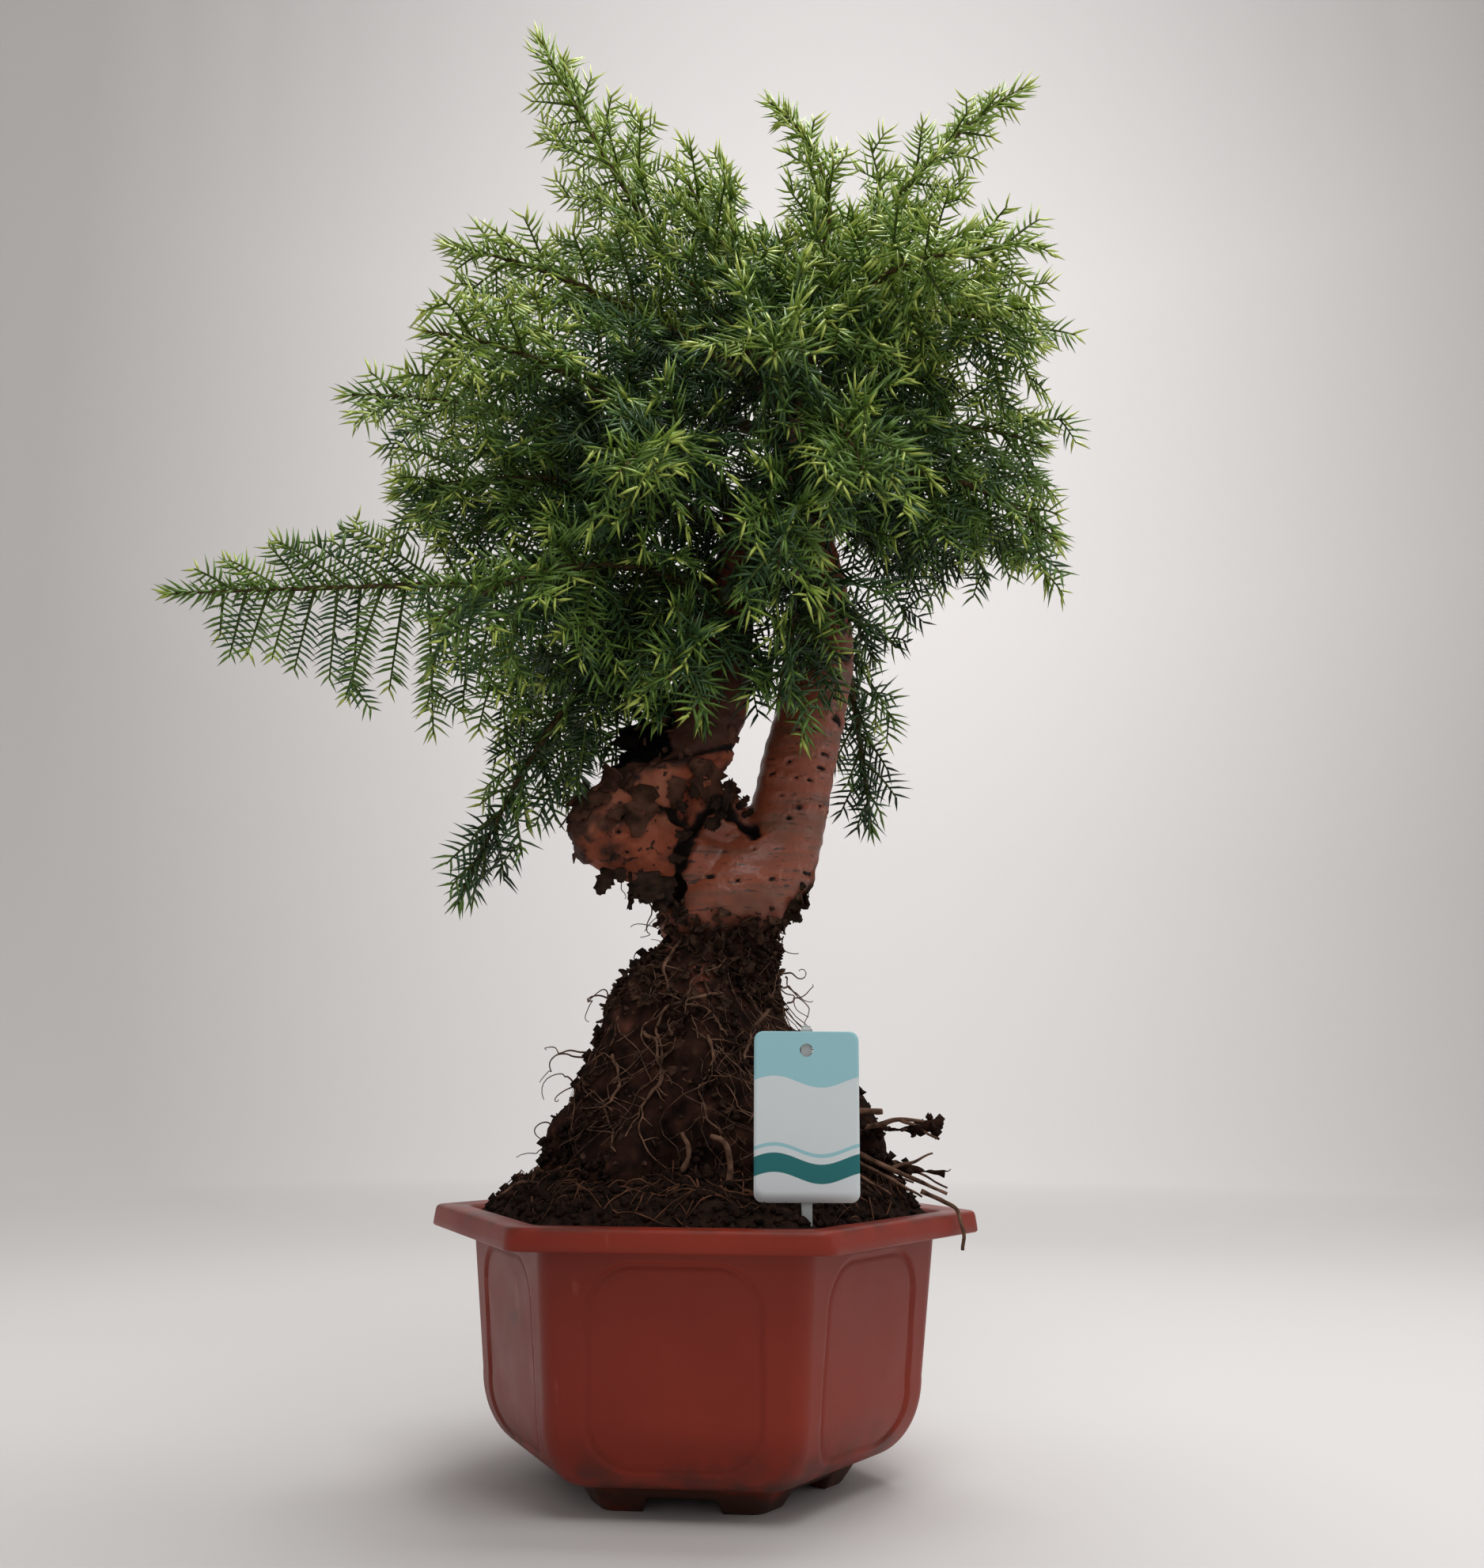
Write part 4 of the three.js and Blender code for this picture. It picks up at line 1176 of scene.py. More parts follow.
    def press_scars(self, place: Array, front: Array, fields: Sequence[Array]) -> None:
        """Presses scars in a spiral up the trunk and the knots seen in front, all with uneven edges.

        Args:
            place: The skin's points.
            front: 1 where the skin faces the viewer.
            fields: Height of the relief, dark floors and pale rims, changed in place.
        """
        uneven = 1 + 0.6 * fractal(place, 4.0, 2, 85)
        for k in range(self.scars):
            height = self.scars_start + self.scars_rise * k / self.scars
            turn = 2.4 * k + 1.2 * chance(31, k)
            size = 1.6 + 2.6 * chance(32, k) ** 2
            x, y, radius = self.trunk_at(height)
            spot = np.array([x, y, height]) + radius * np.array([math.cos(turn), math.sin(turn), 0.0])
            away = np.linalg.norm((place - spot) * np.array([0.7, 0.7, 1.3]), axis=1) / size * uneven
            self.scar_pit.press(away, fields)
        for x, z, size in self.knots:
            away = np.hypot((place[:, 0] - x) * 0.75, (place[:, 2] - z) * 1.2) / size * uneven + 9 * (1 - front)
            self.knot_pit.press(away, fields)

    def carve(self, skin: Shape) -> None:
        """Gives the skin its relief and its marks.

        Root base: lumps of two sizes. Elbow and fork: raised bark plates with ragged edges where noise passes
        a level, folds painted with shade, a strip with a painted shadow beside it, the burnt stub and painted
        shade over the upper arm, partly a browner bark. Stem: low hoops, sin of height over the pitch, bent by
        noise, and round scars.

        Args:
            skin: The fused skin, changed in place.
        """
        place = skin.vertices
        x, z = place[:, 0], place[:, 2]
        normal = self.normals(skin)
        front = ease(0.25, -0.15, normal[:, 1])
        root = 1 - ease(254.0, 290.0, z + 28 * fractal(place, 20.0, 3, 3) - 0.5 * (x - 8))
        edge = np.interp(z, [280.0, 297.0, 317.0, 329.0, 336.0], [-15.0, -13.0, -8.0, 2.0, 21.0])
        peel = ease(3.0, -3.0, x - edge) * (1 - ease(366.0, 402.0, z)) * (1 - root)
        plates = fractal(place * np.array([1.0, 1.0, 1.35]), 24.0, 4, 21)
        plate = ease(-4.0, 4.0, z - 317.0 - 0.7 * (x + 70) + 30 * plates)
        hoops = np.sin(FULL_TURN * z / self.hoop_pitch + 2.2 * fractal(place, 30.0, 2, 31))
        hoops = hoops * (1 - root) * (1 - 0.7 * peel)
        relief = 0.22 * hoops + 0.18 * fractal(place, 5.0, 3, 41)
        lumps = 5.0 * fractal(place * np.array([1.0, 1.0, 0.6]), 30.0, 3, 51) + 1.2 * fractal(place, 8.0, 3, 61)
        relief = relief + root * lumps
        relief = relief + peel * (1.9 * (plate - 0.5) + 1.1 * fractal(place, 7.0, 3, 71))
        scar, rim = np.zeros(len(place)), np.zeros(len(place))
        self.press_scars(place, front, (relief, scar, rim))
        ragged = 2.6 * fractal(place, 9.0, 3, 87)
        wide = np.interp(z, [279.0, 312.0, 330.0], [3.2, 5.0, 8.0])
        # Painted shade: the folds are carved and also coloured dark, like the scars' floors.
        crease = front * ease(1.0, 0.15, (self.off_line(place, self.crease) + ragged) / wide)
        crease = np.maximum(crease, 0.7 * front * ease(4.0, 0.5, self.off_line(place, self.seam) + ragged))
        relief -= 5.0 * crease
        strip = front * ease(3.0, 1.4, self.off_line(place, self.strip) + 0.3 * ragged)
        relief += 2.6 * strip * (1 - crease)
        # Painted shadow: a dark line 4 mm above the raised strip.
        shadow = front * ease(2.6, 0.8, self.off_line(place - 4.0 * UP, self.strip))
        # The folds' painted shade and the strip's painted shadow join the scars' dark floors in one mark.
        scar = np.maximum(np.maximum(scar, crease), 0.8 * shadow)
        above = ease(0.0, 4.0, z - np.interp(x, [-34.0, -2.0, 17.0], [349.0, 358.0, 366.0]))
        # Painted shade over the upper arm, partly a browner bark: half of the char mark darkens it, and only the black
        # zone is the burnt stub.
        brown = ease(20.0, 2.0, x - 0.35 * (z - 356)) * (1 - ease(410.0, 440.0, z))
        black = ease(-13.0, -21.0, x + ragged) * ease(-58.0, -50.0, x) * (1 - ease(386.0, 394.0, z))
        char = above * np.maximum(0.5 * brown, black)
        relief += black * above * 3.4 * fractal(place, 6.0, 2, 81)
        skin.vertices = place + normal * relief[:, None]
        base = skin.vertices[:, 2] < self.soil_level
        skin.vertices[base, 2] = np.maximum(skin.vertices[base, 2], self.soil_level - 6.0)
        scar = np.where(scar > 0.2, scar, -rim * (1 - root))
        skin.marks = {"root": root, "peel": peel, "plate": plate, "scar": scar, "char": char}


@dataclass
class Skin:
    """The stems' outer surface, for what grows on it."""

    points: Array
    normals: Array
    marks: dict[str, Array]

    def pick(self, zone: Array, count: int, seed: float) -> Array:
        """Seeded choice of vertex numbers inside a zone."""
        inside = np.flatnonzero(zone)
        return inside[(chance(seed, np.arange(count)) * (len(inside) - 1)).astype(int)]

    def nearest(self, places: Array, front: bool = False) -> tuple[Array, Array]:
        """The skin's points nearest to places.

        Args:
            places: Places, one row each.
            front: Whether to take the point that a viewer in front sees over each place.

        Returns:
            Points and normals, one row for each place.
        """
        pool = np.flatnonzero((self.normals[:, 1] < -0.15) | (not front))[::3]
        scale = np.array([1.0, 0.02 if front else 1.0, 1.0])
        cloud = self.points[pool] * scale
        chosen = []
        for some in np.array_split(places * scale, max(1, len(places) // 60)):
            apart = ((some[:, None] - cloud[None]) ** 2).sum(-1)
            chosen.append(pool[apart.argmin(1)])
        index = np.concatenate(chosen)
        return self.points[index], self.normals[index]


@dataclass
class BarkFlakes:
    """Loose bark: crusty flakes on the neck and root base, peeling plates on the elbow and ragged flaps.

    Attributes:
        plate_rows: Upper middle as x and height, fall as x and height, length and half width of each plate.
        splinters: Place, way, length, half width, curl and roll of the dead stub's splinters.
        flaps: The same for flaps under the elbow and at the fork.
    """

    layout: Layout
    skin: Skin
    thickness: float = 0.5
    plate_rows: Rows = (
        (-1, 356, 0.1, -1, 19, 9.5), (-30, 341, -0.25, -1, 24, 7.5), (-40, 349, -0.7, -0.6, 15, 6.0),
        (-50, 338, -0.8, -0.5, 15, 5.5), (-58, 331, -0.8, -0.6, 12, 4.5), (-14, 346, -0.2, -1, 13, 5.0),
        (12, 349, 0.2, -1, 12, 4.0),
    )  # fmt: skip
    splinters: Rows = (
        (-20, -14, 380, -0.7, -0.2, 0.6, 20, 6, 0.5, 0.6), (-24, -12, 372, -1, 0.1, 0.2, 22, 6, -0.6, -0.5),
        (-22, -16, 366, -1, 0.1, -0.3, 22, 6, 0.3, 0.5), (-28, -8, 364, -0.9, 0.3, -0.5, 14, 4, 0.5, 0.9),
        (-18, -18, 384, -0.5, 0.0, 0.9, 13, 4, 0.4, 0.8), (-30, -14, 376, -0.8, 0.0, 0.5, 13, 3, 0.3, 0.9),
        (-34, -12, 368, -1.0, 0.0, 0.0, 12, 2.5, 0.3, 1.0), (-32, -12, 360, -0.6, 0.0, -0.8, 9, 3, 0.3, 0.6),
    )  # fmt: skip
    flaps: Rows = (
        (-50, -22, 298, -0.3, 0, -1, 15, 5.5, 0.3, 0.9), (-44, -26, 298, 0.3, 0, -1, 8, 3.5, 0.2, 0.8),
        (-30, -26, 297, 0.1, -0.1, -1, 20, 10, 0.5, 1.0), (-21, -24, 296, -0.1, -0.1, -1, 20, 8, -0.4, 0.7),
        (-39, -24, 297, 0.1, 0, -1, 30, 1.5, 0.4, 1.6), (-34, -22, 286, 0.2, 0, -1, 22, 1.2, 0.5, 2.6),
        (-28, -22, 284, 0.3, 0.1, -1, 20, 1.3, -0.4, -2.2), (-18, -26, 284, 0.5, 0, -1, 12, 4, 0.5, 1.0),
        (13, -22, 333, 0.1, -0.1, 1, 16, 2.6, 0.6, 0.6), (17, -20, 331, 0.6, 0, 0.6, 9, 2.4, -0.5, 1.0),
        (20, -19, 329, 0.9, 0, 0.2, 8, 2.0, 0.4, 1.4), (9, -25, 337, -0.5, -0.4, 0.4, 10, 4, 0.8, 0.8),
        (-6, -32, 330, -0.6, -0.3, -0.5, 12, 3, 0.6, 1.4), (2, -30, 336, -0.7, -0.3, 0.2, 11, 3.5, 0.5, 1.6),
        (-12, -32, 318, 0.7, -0.2, -0.6, 12, 3.5, 0.5, 1.5), (-2, -30, 324, 0.8, -0.2, -0.5, 13, 4, 0.6, 1.3),
        (-16, -30, 306, 0.6, -0.2, -0.7, 10, 3, 0.5, 1.2), (6, -28, 331, 0.5, -0.3, -0.9, 10, 3, 0.5, 1.6),
        (43, -14, 281, 0.9, 0, 0.2, 8, 3.0, 0.4, 1.0), (47, -8, 277, 0.8, 0, -0.5, 7, 2.6, -0.4, 0.9),
    )  # fmt: skip

    def build(self) -> None:
        """Makes the scattered flakes, the plates, the flaps and the stub's splinters."""
        height, marks = self.skin.points[:, 2], self.skin.marks
        neck = (height > 228) & (height < 292) & (marks["root"] > 0.3)
        base = (height > 148) & (height < 240)
        peeling = (marks["peel"] > 0.6) & (marks["plate"] > 0.6)
        crusts = [
            self.scatter(neck, count=1150, seed=91.0, sizes=(1.3, 4.6), tilts=(0.1, 0.9)),
            self.scatter(base, count=560, seed=92.0, sizes=(1.2, 4.0), tilts=(0.1, 0.8)),
        ]
        plates = [self.scatter(peeling, count=70, seed=93.0, sizes=(3.0, 8.0), tilts=(0.02, 0.2)), self.plates()]
        shapes = Shape.join(crusts), Shape.join(plates), self.hanging(self.flaps), self.hanging(self.splinters)
        finishes = (
            WoodFinish("crust_flake", (0.008, 0.005, 0.004), (0.075, 0.040, 0.026), 220.0, 0.95),
            WoodFinish("bark_plate", (0.022, 0.011, 0.007), (0.098, 0.045, 0.029), 110.0, 0.85),
            WoodFinish("bark_flap", (0.006, 0.0045, 0.004), (0.042, 0.023, 0.015), 160.0, 0.85),
            WoodFinish("dead_wood", (0.002, 0.002, 0.002), (0.012, 0.008, 0.007), 200.0, 0.95),
        )
        names = ("bark_flakes", "bark_plates", "bark_flaps", "stub_splinters")
        for name, shape, finish in zip(names, shapes, finishes):
            shape.piece(name, self.layout, finish.material(), Slot.BARK)

    def scatter(self, zone: Array, count: int, seed: float, sizes: Pair, tilts: Pair) -> Shape:
        """Flakes at seeded places of a zone, hanging from their upper end and tilted off the skin.

        Args:
            zone: Whether each of the skin's points may bear a flake.
            count: How many flakes.
            seed: Picks places and forms.
            sizes: Least and largest length.
            tilts: Least and largest slope off the skin.

        Returns:
            All flakes as one shape.
        """
        spot = self.skin.pick(zone, count, seed)
        normal = self.skin.normals[spot]
        luck = [chance(seed + k, np.arange(count)) for k in range(9)]
        along = square_to(normal, np.stack([luck[1] - 0.5, luck[2] - 0.5, 0.35 - luck[3]], -1))
        length = mix(*sizes, luck[4] ** 1.6)
        width = length * mix(0.4, 0.95, luck[5])
        tilt = mix(*tilts, luck[6] ** 1.5)
        curl, roll = mix(-0.3, 0.6, luck[7]), mix(-0.5, 2.2, luck[8] ** 2)
        return self.leaves((self.skin.points[spot], normal, along), (length, width), (tilt, curl, roll))

    def leaves(
        self, stand: Sequence[Array], sizes: Sequence[Array], bends: Sequence[Array], count: int = 5
    ) -> Shape:
        """Thin closed leaves: rings of four points over and four under, from foot to free end.

        A leaf rolls up along its length l by the angle b = roll * v: its middle line stands at l * v * sin(b) / b
        along and l * v * (1 - cos(b)) / b off the skin. Across it stands width * u * profile, and rises by
        tilt * l * v + curl * width * u^2 * v.

        Args:
            stand: Each leaf's foot, normal and direction.
            sizes: Each leaf's length and half width.
            bends: Each leaf's tilt, curl and roll.
            count: Rings of a leaf.

        Returns:
            All leaves as one shape.
        """
        foot, normal, along = (one[:, None, None] for one in stand)
        size, wide = (one[:, None, None] for one in sizes)
        tilt, curl, roll = (one[:, None, None] for one in bends)
        v = np.linspace(0, 1, count)[None, :, None]
        u = np.array([-1, -0.45, 0.45, 1, 1, 0.45, -0.45, -1])[None, None]
        under = self.thickness * np.array([0, 0, 0, 0, 1, 1, 1, 1])[None, None]
        number = np.arange(len(foot))[:, None, None]
        ragged = 0.65 + 0.7 * chance(number * 0.37, np.arange(8 * count).reshape(1, count, 8))
        ragged = np.concatenate([ragged[..., :4], ragged[..., 3::-1]], -1)
        profile = np.interp(v, [0, 0.25, 0.5, 0.75, 1], [0.6, 0.95, 1.0, 0.8, 0.35]) * ragged
        bend = roll * v
        forth = size * v * np.sinc(bend / math.pi) * (0.9 + 0.2 * ragged) + under * np.sin(bend)
        rise = size * v * (np.sin(bend / 2) * np.sinc(bend / 2 / math.pi) + tilt)
        rise = rise + curl * wide * u * u * v - under * np.cos(bend) - 0.2
        rings = foot + np.cross(along, normal) * (wide * u * profile)[..., None]
        return closed_grids(rings + along * forth[..., None] + normal * rise[..., None])

    def plates(self) -> Shape:
        """Large flat plates on the elbow, laid on the skin that a viewer sees behind them.

        Returns:
            All plates as one shape.
        """
        rows = np.array(self.plate_rows, float)
        level = np.zeros(len(rows))
        places = np.stack([rows[:, 0], level - 60.0, rows[:, 1]], -1)
        along = unit(np.stack([rows[:, 2], level, rows[:, 3]], -1))
        facing = np.broadcast_to([0.0, -1.0, 0.0], along.shape)
        made = self.leaves((places, facing, along), (rows[:, 4], rows[:, 5]), (level + 0.04, level + 0.1, level), 9)
        on_skin, normal = self.skin.nearest(made.vertices, front=True)
        made.vertices = made.vertices * [1, 0, 1] + on_skin * [0, 1, 0] + normal * (-58.8 - made.vertices[:, 1:2])
        return made

    def hanging(self, table: Sequence[Sequence[float]]) -> Shape:
        """Flaps, each facing the front and out of the skin.

        Args:
            table: Rows of place, fall, length, half width, curl and roll.

        Returns:
            All flaps as one shape.
        """
        rows = np.array(table, float)
        foot, normal = self.skin.nearest(rows[:, :3])
        foot = mix(foot, rows[:, :3], 0.35)
        along = unit(rows[:, 3:6])
        ahead = np.array([0.0, -1.0, 0.15])
        facing = square_to(along, unit(ahead - along * (along @ ahead)[:, None] + 0.4 * normal))
        tilt = np.full(len(rows), 0.1)
        return self.leaves((foot, facing, along), (rows[:, 6], rows[:, 7]), (tilt, rows[:, 8], rows[:, 9]), 12)


@dataclass
class Roots:
    """Roots on and beside the root base: long strands, fine hairs, a woody fan at the right and loose fibres.

    Attributes:
        front_roots: Roots that lie on the front, as places of x and height.
        free_roots: Roots that stand free, as places and the radii at both ends.
        fibre_ends: Both ends of each loose fibre.
    """

    layout: Layout
    stems: Stems
    skin: Skin
    hairs: int = 170
    strands: int = 16
    cakes: int = 3600
    front_roots: tuple[tuple[Pair, ...], ...] = (
        ((12, 236), (-10, 230), (-21, 224), (-22, 216), (-20, 201), (-23, 189), (-29, 177), (-28, 160), (-12, 148)),
        ((-30, 215), (-24, 212), (-22, 203), (-19, 195), (-28, 180), (-36, 165)),
        ((34, 228), (24, 215), (20, 200), (28, 186), (22, 170)),
        ((-44, 205), (-40, 190), (-47, 176), (-40, 158)),
        ((-12, 262), (-20, 246), (-14, 232), (2, 226), (10, 214)),
        ((2, 214), (6, 200), (-2, 188), (4, 172), (14, 160)),
    )  # fmt: skip
    free_roots: tuple[tuple[Point | float, ...], ...] = (
        ((64, -14, 166), (78, -20, 176), (90, -24, 177), 3.0, 2.2),
        ((70, -16, 163), (84, -24, 169), (98, -30, 173), (118, -32, 171), 2.4, 1.2),
        ((98, -30, 173), (108, -34, 169), (117, -36, 164), 1.6, 0.9),
        ((70, -18, 160), (88, -28, 152), (104, -34, 145), (120, -36, 138), 2.4, 1.2),
        ((94, -30, 150), (104, -32, 153), (114, -33, 157), 1.6, 0.7),
        ((72, -22, 156), (86, -36, 148), (98, -44, 142), (106, -50, 137), 1.8, 0.8),
        ((70, -6, 158), (90, -8, 152), (108, -10, 147), (124, -14, 140), 1.8, 0.7),
        ((74, 4, 152), (92, 8, 146), (110, 6, 141), 2.0, 0.8),
        ((66, -34, 154), (78, -48, 146), (90, -58, 139), 1.7, 0.8),
        ((108, -36, 139), (118, -38, 135), (124, -39, 131.5), (126.5, -40, 124), (127, -40.5, 112), 1.9, 1.3),
        ((11, -74, 138), (13, -77, 152), (10, -75, 164), (4, -72, 166), 2.6, 1.8),
        ((-9, -70, 150), (-6, -73, 158), (-9, -69, 168), 2.0, 1.4),
        ((-74, -30, 140), (-88, -38, 143), (-98, -46, 136), 1.8, 0.8),
        ((-70, 26, 146), (-84, 32, 144), (-96, 40, 136), 2.2, 0.9),
        ((30, 64, 146), (38, 78, 144), (48, 92, 136), 2.2, 0.9),
    )  # fmt: skip
    fibre_ends: Rows = (
        (-60, 0, 206, -80, -4, 208), (-60, 2, 203, -82, 0, 189), (-66, 0, 185, -82, -2, 185),
        (-62, -6, 198, -76, -8, 180), (-52, 0, 222, -62, -4, 232), (-46, 2, 232, -58, 0, 222),
        (40, 0, 243, 54, -4, 226), (42, 2, 240, 58, 0, 218), (44, -4, 232, 58, -6, 240),
        (38, 0, 248, 52, -2, 248), (-30, -22, 284, -33, -24, 262), (-26, -20, 282, -29, -24, 268),
        (-20, -18, 276, -34, -18, 268), (-46, -22, 296, -44, -24, 286), (36, 0, 262, 48, -2, 256),
        (-28, 0, 258, -40, -4, 252), (-30, 4, 254, -44, 2, 246), (44, 6, 246, 56, 8, 232),
        (-70, 4, 170, -84, 2, 160), (-72, -4, 160, -90, -8, 152),
    )  # fmt: skip

    def build(self) -> None:
        """Makes the woody roots, the fine ones and the clods that cake them."""
        self.caked().piece("caked_peat", self.layout, PeatFinish().material(), Slot.BARK, smooth=False)
        wood = WoodFinish("root_wood", (0.024, 0.013, 0.009), (0.190, 0.104, 0.068), 190.0, 0.85).material()
        strong = Shape.join([*self.woody(), self.clinging(self.strands, seed=111.0, thick=(0.35, 0.9), stand=3.0)])
        strong.piece("woody_roots", self.layout, wood, Slot.BARK)
        hair = WoodFinish("fine_root", (0.024, 0.013, 0.009), (0.190, 0.108, 0.072), 260.0, 0.9).material()
        fine = Shape.join([self.clinging(self.hairs, seed=121.0, thick=(0.16, 0.45), stand=9.0), self.loose()])
        fine.piece("fine_roots", self.layout, hair, Slot.BARK)

    def caked(self) -> Shape:
        """Peat clods that stick to the root base and the neck, in heaps where noise passes a level.

        Returns:
            All clods as one shape.
        """
        points = self.skin.points
        level = np.interp(points[:, 2], [150.0, 178.0, 226.0, 246.0], [-0.2, 0.3, 0.3, -0.1])
        heaps = fractal(points, 16.0, 2, 135) > level
        spot = self.skin.pick((points[:, 2] < 262) & (self.skin.marks["root"] > 0.6) & heaps, self.cakes, 136.0)
        size = 0.6 + 2.4 * chance(137, np.arange(self.cakes)) ** 3
        return clods(points[spot] + self.skin.normals[spot] * (0.5 * size)[:, None], size)

    def clinging(self, count: int, seed: float, thick: Pair, stand: float) -> Shape:
        """Roots that wander down the root base: drifting bearing, falling height, laid on the skin.

        Each stands off the skin by a hump, stand * luck^3 * sin(pi q)^2, and wiggles by noise.

        Args:
            count: How many roots.
            seed: Picks their ways.
            thick: Least and largest radius.
            stand: Height of the highest hump.

        Returns:
            All roots as one shape.
        """
        places = 18
        number = np.arange(count)
        luck = [chance(seed + k, number)[:, None] for k in range(6)]
        q = np.linspace(0, 1, places)[None]
        fall = mix(20.0, 95.0, luck[3])
        height = np.maximum(mix(165.0, 262.0, luck[2]) - fall * q, 143.0)
        wiggle = np.stack([np.repeat(number[:, None] * 3.7, places, 1), q * fall / 14.0, 0 * height], -1)
        angle = FULL_TURN * luck[0] + 2.6 * (luck[1] - 0.5) * q
        angle = angle + 0.22 * fractal(wiggle.reshape(-1, 3), 1.0, 3, int(seed)).reshape(count, places)
        middle, _, radius = self.stems.trunk_at(height)
        out = np.stack([np.cos(angle), np.sin(angle), 0 * angle], -1)
        track = out * (radius * self.stems.flare(height, out))[..., None]
        track = track + np.stack([middle, 0 * middle, height], -1)
        foot, normal = (one.reshape(track.shape) for one in self.skin.nearest(track.reshape(-1, 3)))
        hump = (stand * luck[4] ** 3) * np.sin(math.pi * q) ** 2
        thickness = mix(*thick, luck[5] ** 2) * (1 - 0.55 * q)
        paths = mix(track, foot, 0.8) + (hump + 0.5 * thickness)[..., None] * normal
        smooth = paths.copy()
        smooth[:, 1:-1] = (paths[:, :-2] + 2 * paths[:, 1:-1] + paths[:, 2:]) / 4
        return tubes(smooth + 1.1 * drift(smooth, 4.5, 200), thickness, 5)

    def woody(self) -> list[Shape]:
        """Single roots as curves through places, bent by noise, with knobbly radii that thin to the tip.

        Roots on the front lie on the skin seen there, evened over seven points, and bear rootlets.

        Returns:
            The roots.
        """
        made = []
        for row in self.front_roots:
            curve = spline(np.array(row, float), 64)
            places = np.stack([curve[:, 0], np.full(64, -60.0), curve[:, 1]], -1)
            foot, normal = self.skin.nearest(places, front=True)
            padded = np.pad(foot, ((3, 3), (0, 0)), "edge")
            steady = np.stack([np.convolve(column, np.full(7, 1 / 7), "valid") for column in padded.T], -1)
            path = steady + np.array([0.0, -1.0, 0.0]) + 0.4 * normal
            path = path + 1.5 * drift(path, 6.0, 170)
            knots = 1 + 0.3 * lattice_noise(path / 3.0, 180)
            made.append(tubes(path[None], (np.linspace(0.95, 0.35, 64) * knots)[None], 6))
            made.append(self.rootlets(path[4::5]))
        for *places, start, end in self.free_roots:
            path = spline(np.array(places, float), 26)
            path = path + 0.8 * drift(path, 7.0, 140)
            knots = 1 + 0.18 * lattice_noise(path / 4.0, 150)
            made.append(tubes(path[None], (0.68 * np.linspace(start, end, 26) * knots)[None], 7))
        return made

    def rootlets(self, feet: Array) -> Shape:
        """Short side roots: each runs out to one side and down, bent by noise, and thins to its tip.

        Args:
            feet: Where they leave their root.

        Returns:
            All rootlets as one shape.
        """
        number = np.arange(len(feet)) + feet[0, 2]
        across, ahead, down, length = (chance(seed, number) for seed in (181, 182, 183, 184))
        q = np.linspace(0, 1, 9)[None, :, None]
        way = np.stack([2.4 * across - 1.2, -0.5 * ahead, 0.4 - 1.2 * down], -1)
        paths = feet[:, None] + way[:, None] * (6 + 12 * length[:, None, None]) * q
        paths = paths + 2.2 * drift(paths, 4.0, 190) * q
        return tubes(paths, (0.42 - 0.28 * q[..., 0]) * np.ones((len(feet), 1)), 4)

    def loose(self) -> Shape:
        """Fine fibres that stand off the base at its sides, at the neck and under the elbow.

        Each runs between its ends in a bow, and curls more towards its tip by noise and a slow turn.

        Returns:
            All fibres as one shape.
        """
        ends = np.array(self.fibre_ends, float)
        number = np.arange(len(ends))
        bow_x, bow_y, bow_z, start = (chance(seed, number) for seed in (131, 132, 133, 134))
        q = np.linspace(0, 1, 30)[None, :, None]
        paths = ends[:, None, :3] + (ends[:, None, 3:] - ends[:, None, :3]) * q
        bow = np.stack([bow_x - 0.5, bow_y - 0.5, bow_z - 0.3], -1)
        paths = paths + 14.0 * bow[:, None] * np.sin(math.pi * q)
        paths = paths + 3.2 * drift(paths, 4.5, 160) * q
        turn = 11 * q[..., 0] + 6.3 * start[:, None]
        paths = paths + 2.4 * q * np.stack([np.cos(turn), 0.4 * np.sin(turn), np.sin(turn)], -1)
        return tubes(paths, (0.55 - 0.35 * q[..., 0]) * np.ones((len(ends), 1)), 4)


# Boughs and foliage


@dataclass(frozen=True)
class Bough:
    """One bough and its mass of foliage, in the part source's own terms.

    Attributes:
        name: Plain name, as in the node names.
        stem: The stem it leaves.
        height: Where it leaves the stem.
        bearing: Degrees, 0 to the right and 270 to the front.
        reach: Distance outwards to the tip.
        lift: Height of the tip over the foot.
        arch: Rise of its middle.
        bare: Share of its length without foliage.
        spread: Length of the longest side shoot.
        droop: How far a side shoot's tip falls, as a share of its length.
        swing: Sideways bow of its middle.
        turn: Degrees from one side shoot to the next.
        tip_share: Length of the last side shoot, as a share of the spread.
        hang: How much longer side shoots under the axis are, as a share.
        needle: Length of its needles, as a share of the usual.
    """

    name: str
    stem: Stem
    height: float
    bearing: float
    reach: float
    lift: float
    arch: float
    bare: float
    spread: float
    droop: float
    swing: float = 0.0
    turn: float = 137.5
    tip_share: float = 0.42
    hang: float = 0.0
    needle: float = 1.0

    @property
    def two_rows(self) -> bool:
        """Whether its side shoots stand in two opposite rows."""
        return self.turn == 180.0

    def curve(self, foot: Array, count: int = 60) -> Array:
        """The quadratic curve from the stem's axis to the tip.

        Args:
            foot: The place on the stem's axis.
            count: How many points to give.

        Returns:
            Points evenly spaced by length.
        """
        out = np.array([math.cos(math.radians(self.bearing)), math.sin(math.radians(self.bearing)), 0.0])
        tip = foot + out * self.reach + UP * self.lift
        middle = (foot + tip) / 2 + 2 * self.arch * UP - 2 * self.swing * np.cross(out, UP)
        t = np.linspace(0, 1, 200)[:, None]
        return resampled((1 - t) ** 2 * foot + 2 * t * (1 - t) * middle + t**2 * tip, count)


T, S = Stem.TRUNK, Stem.SECOND
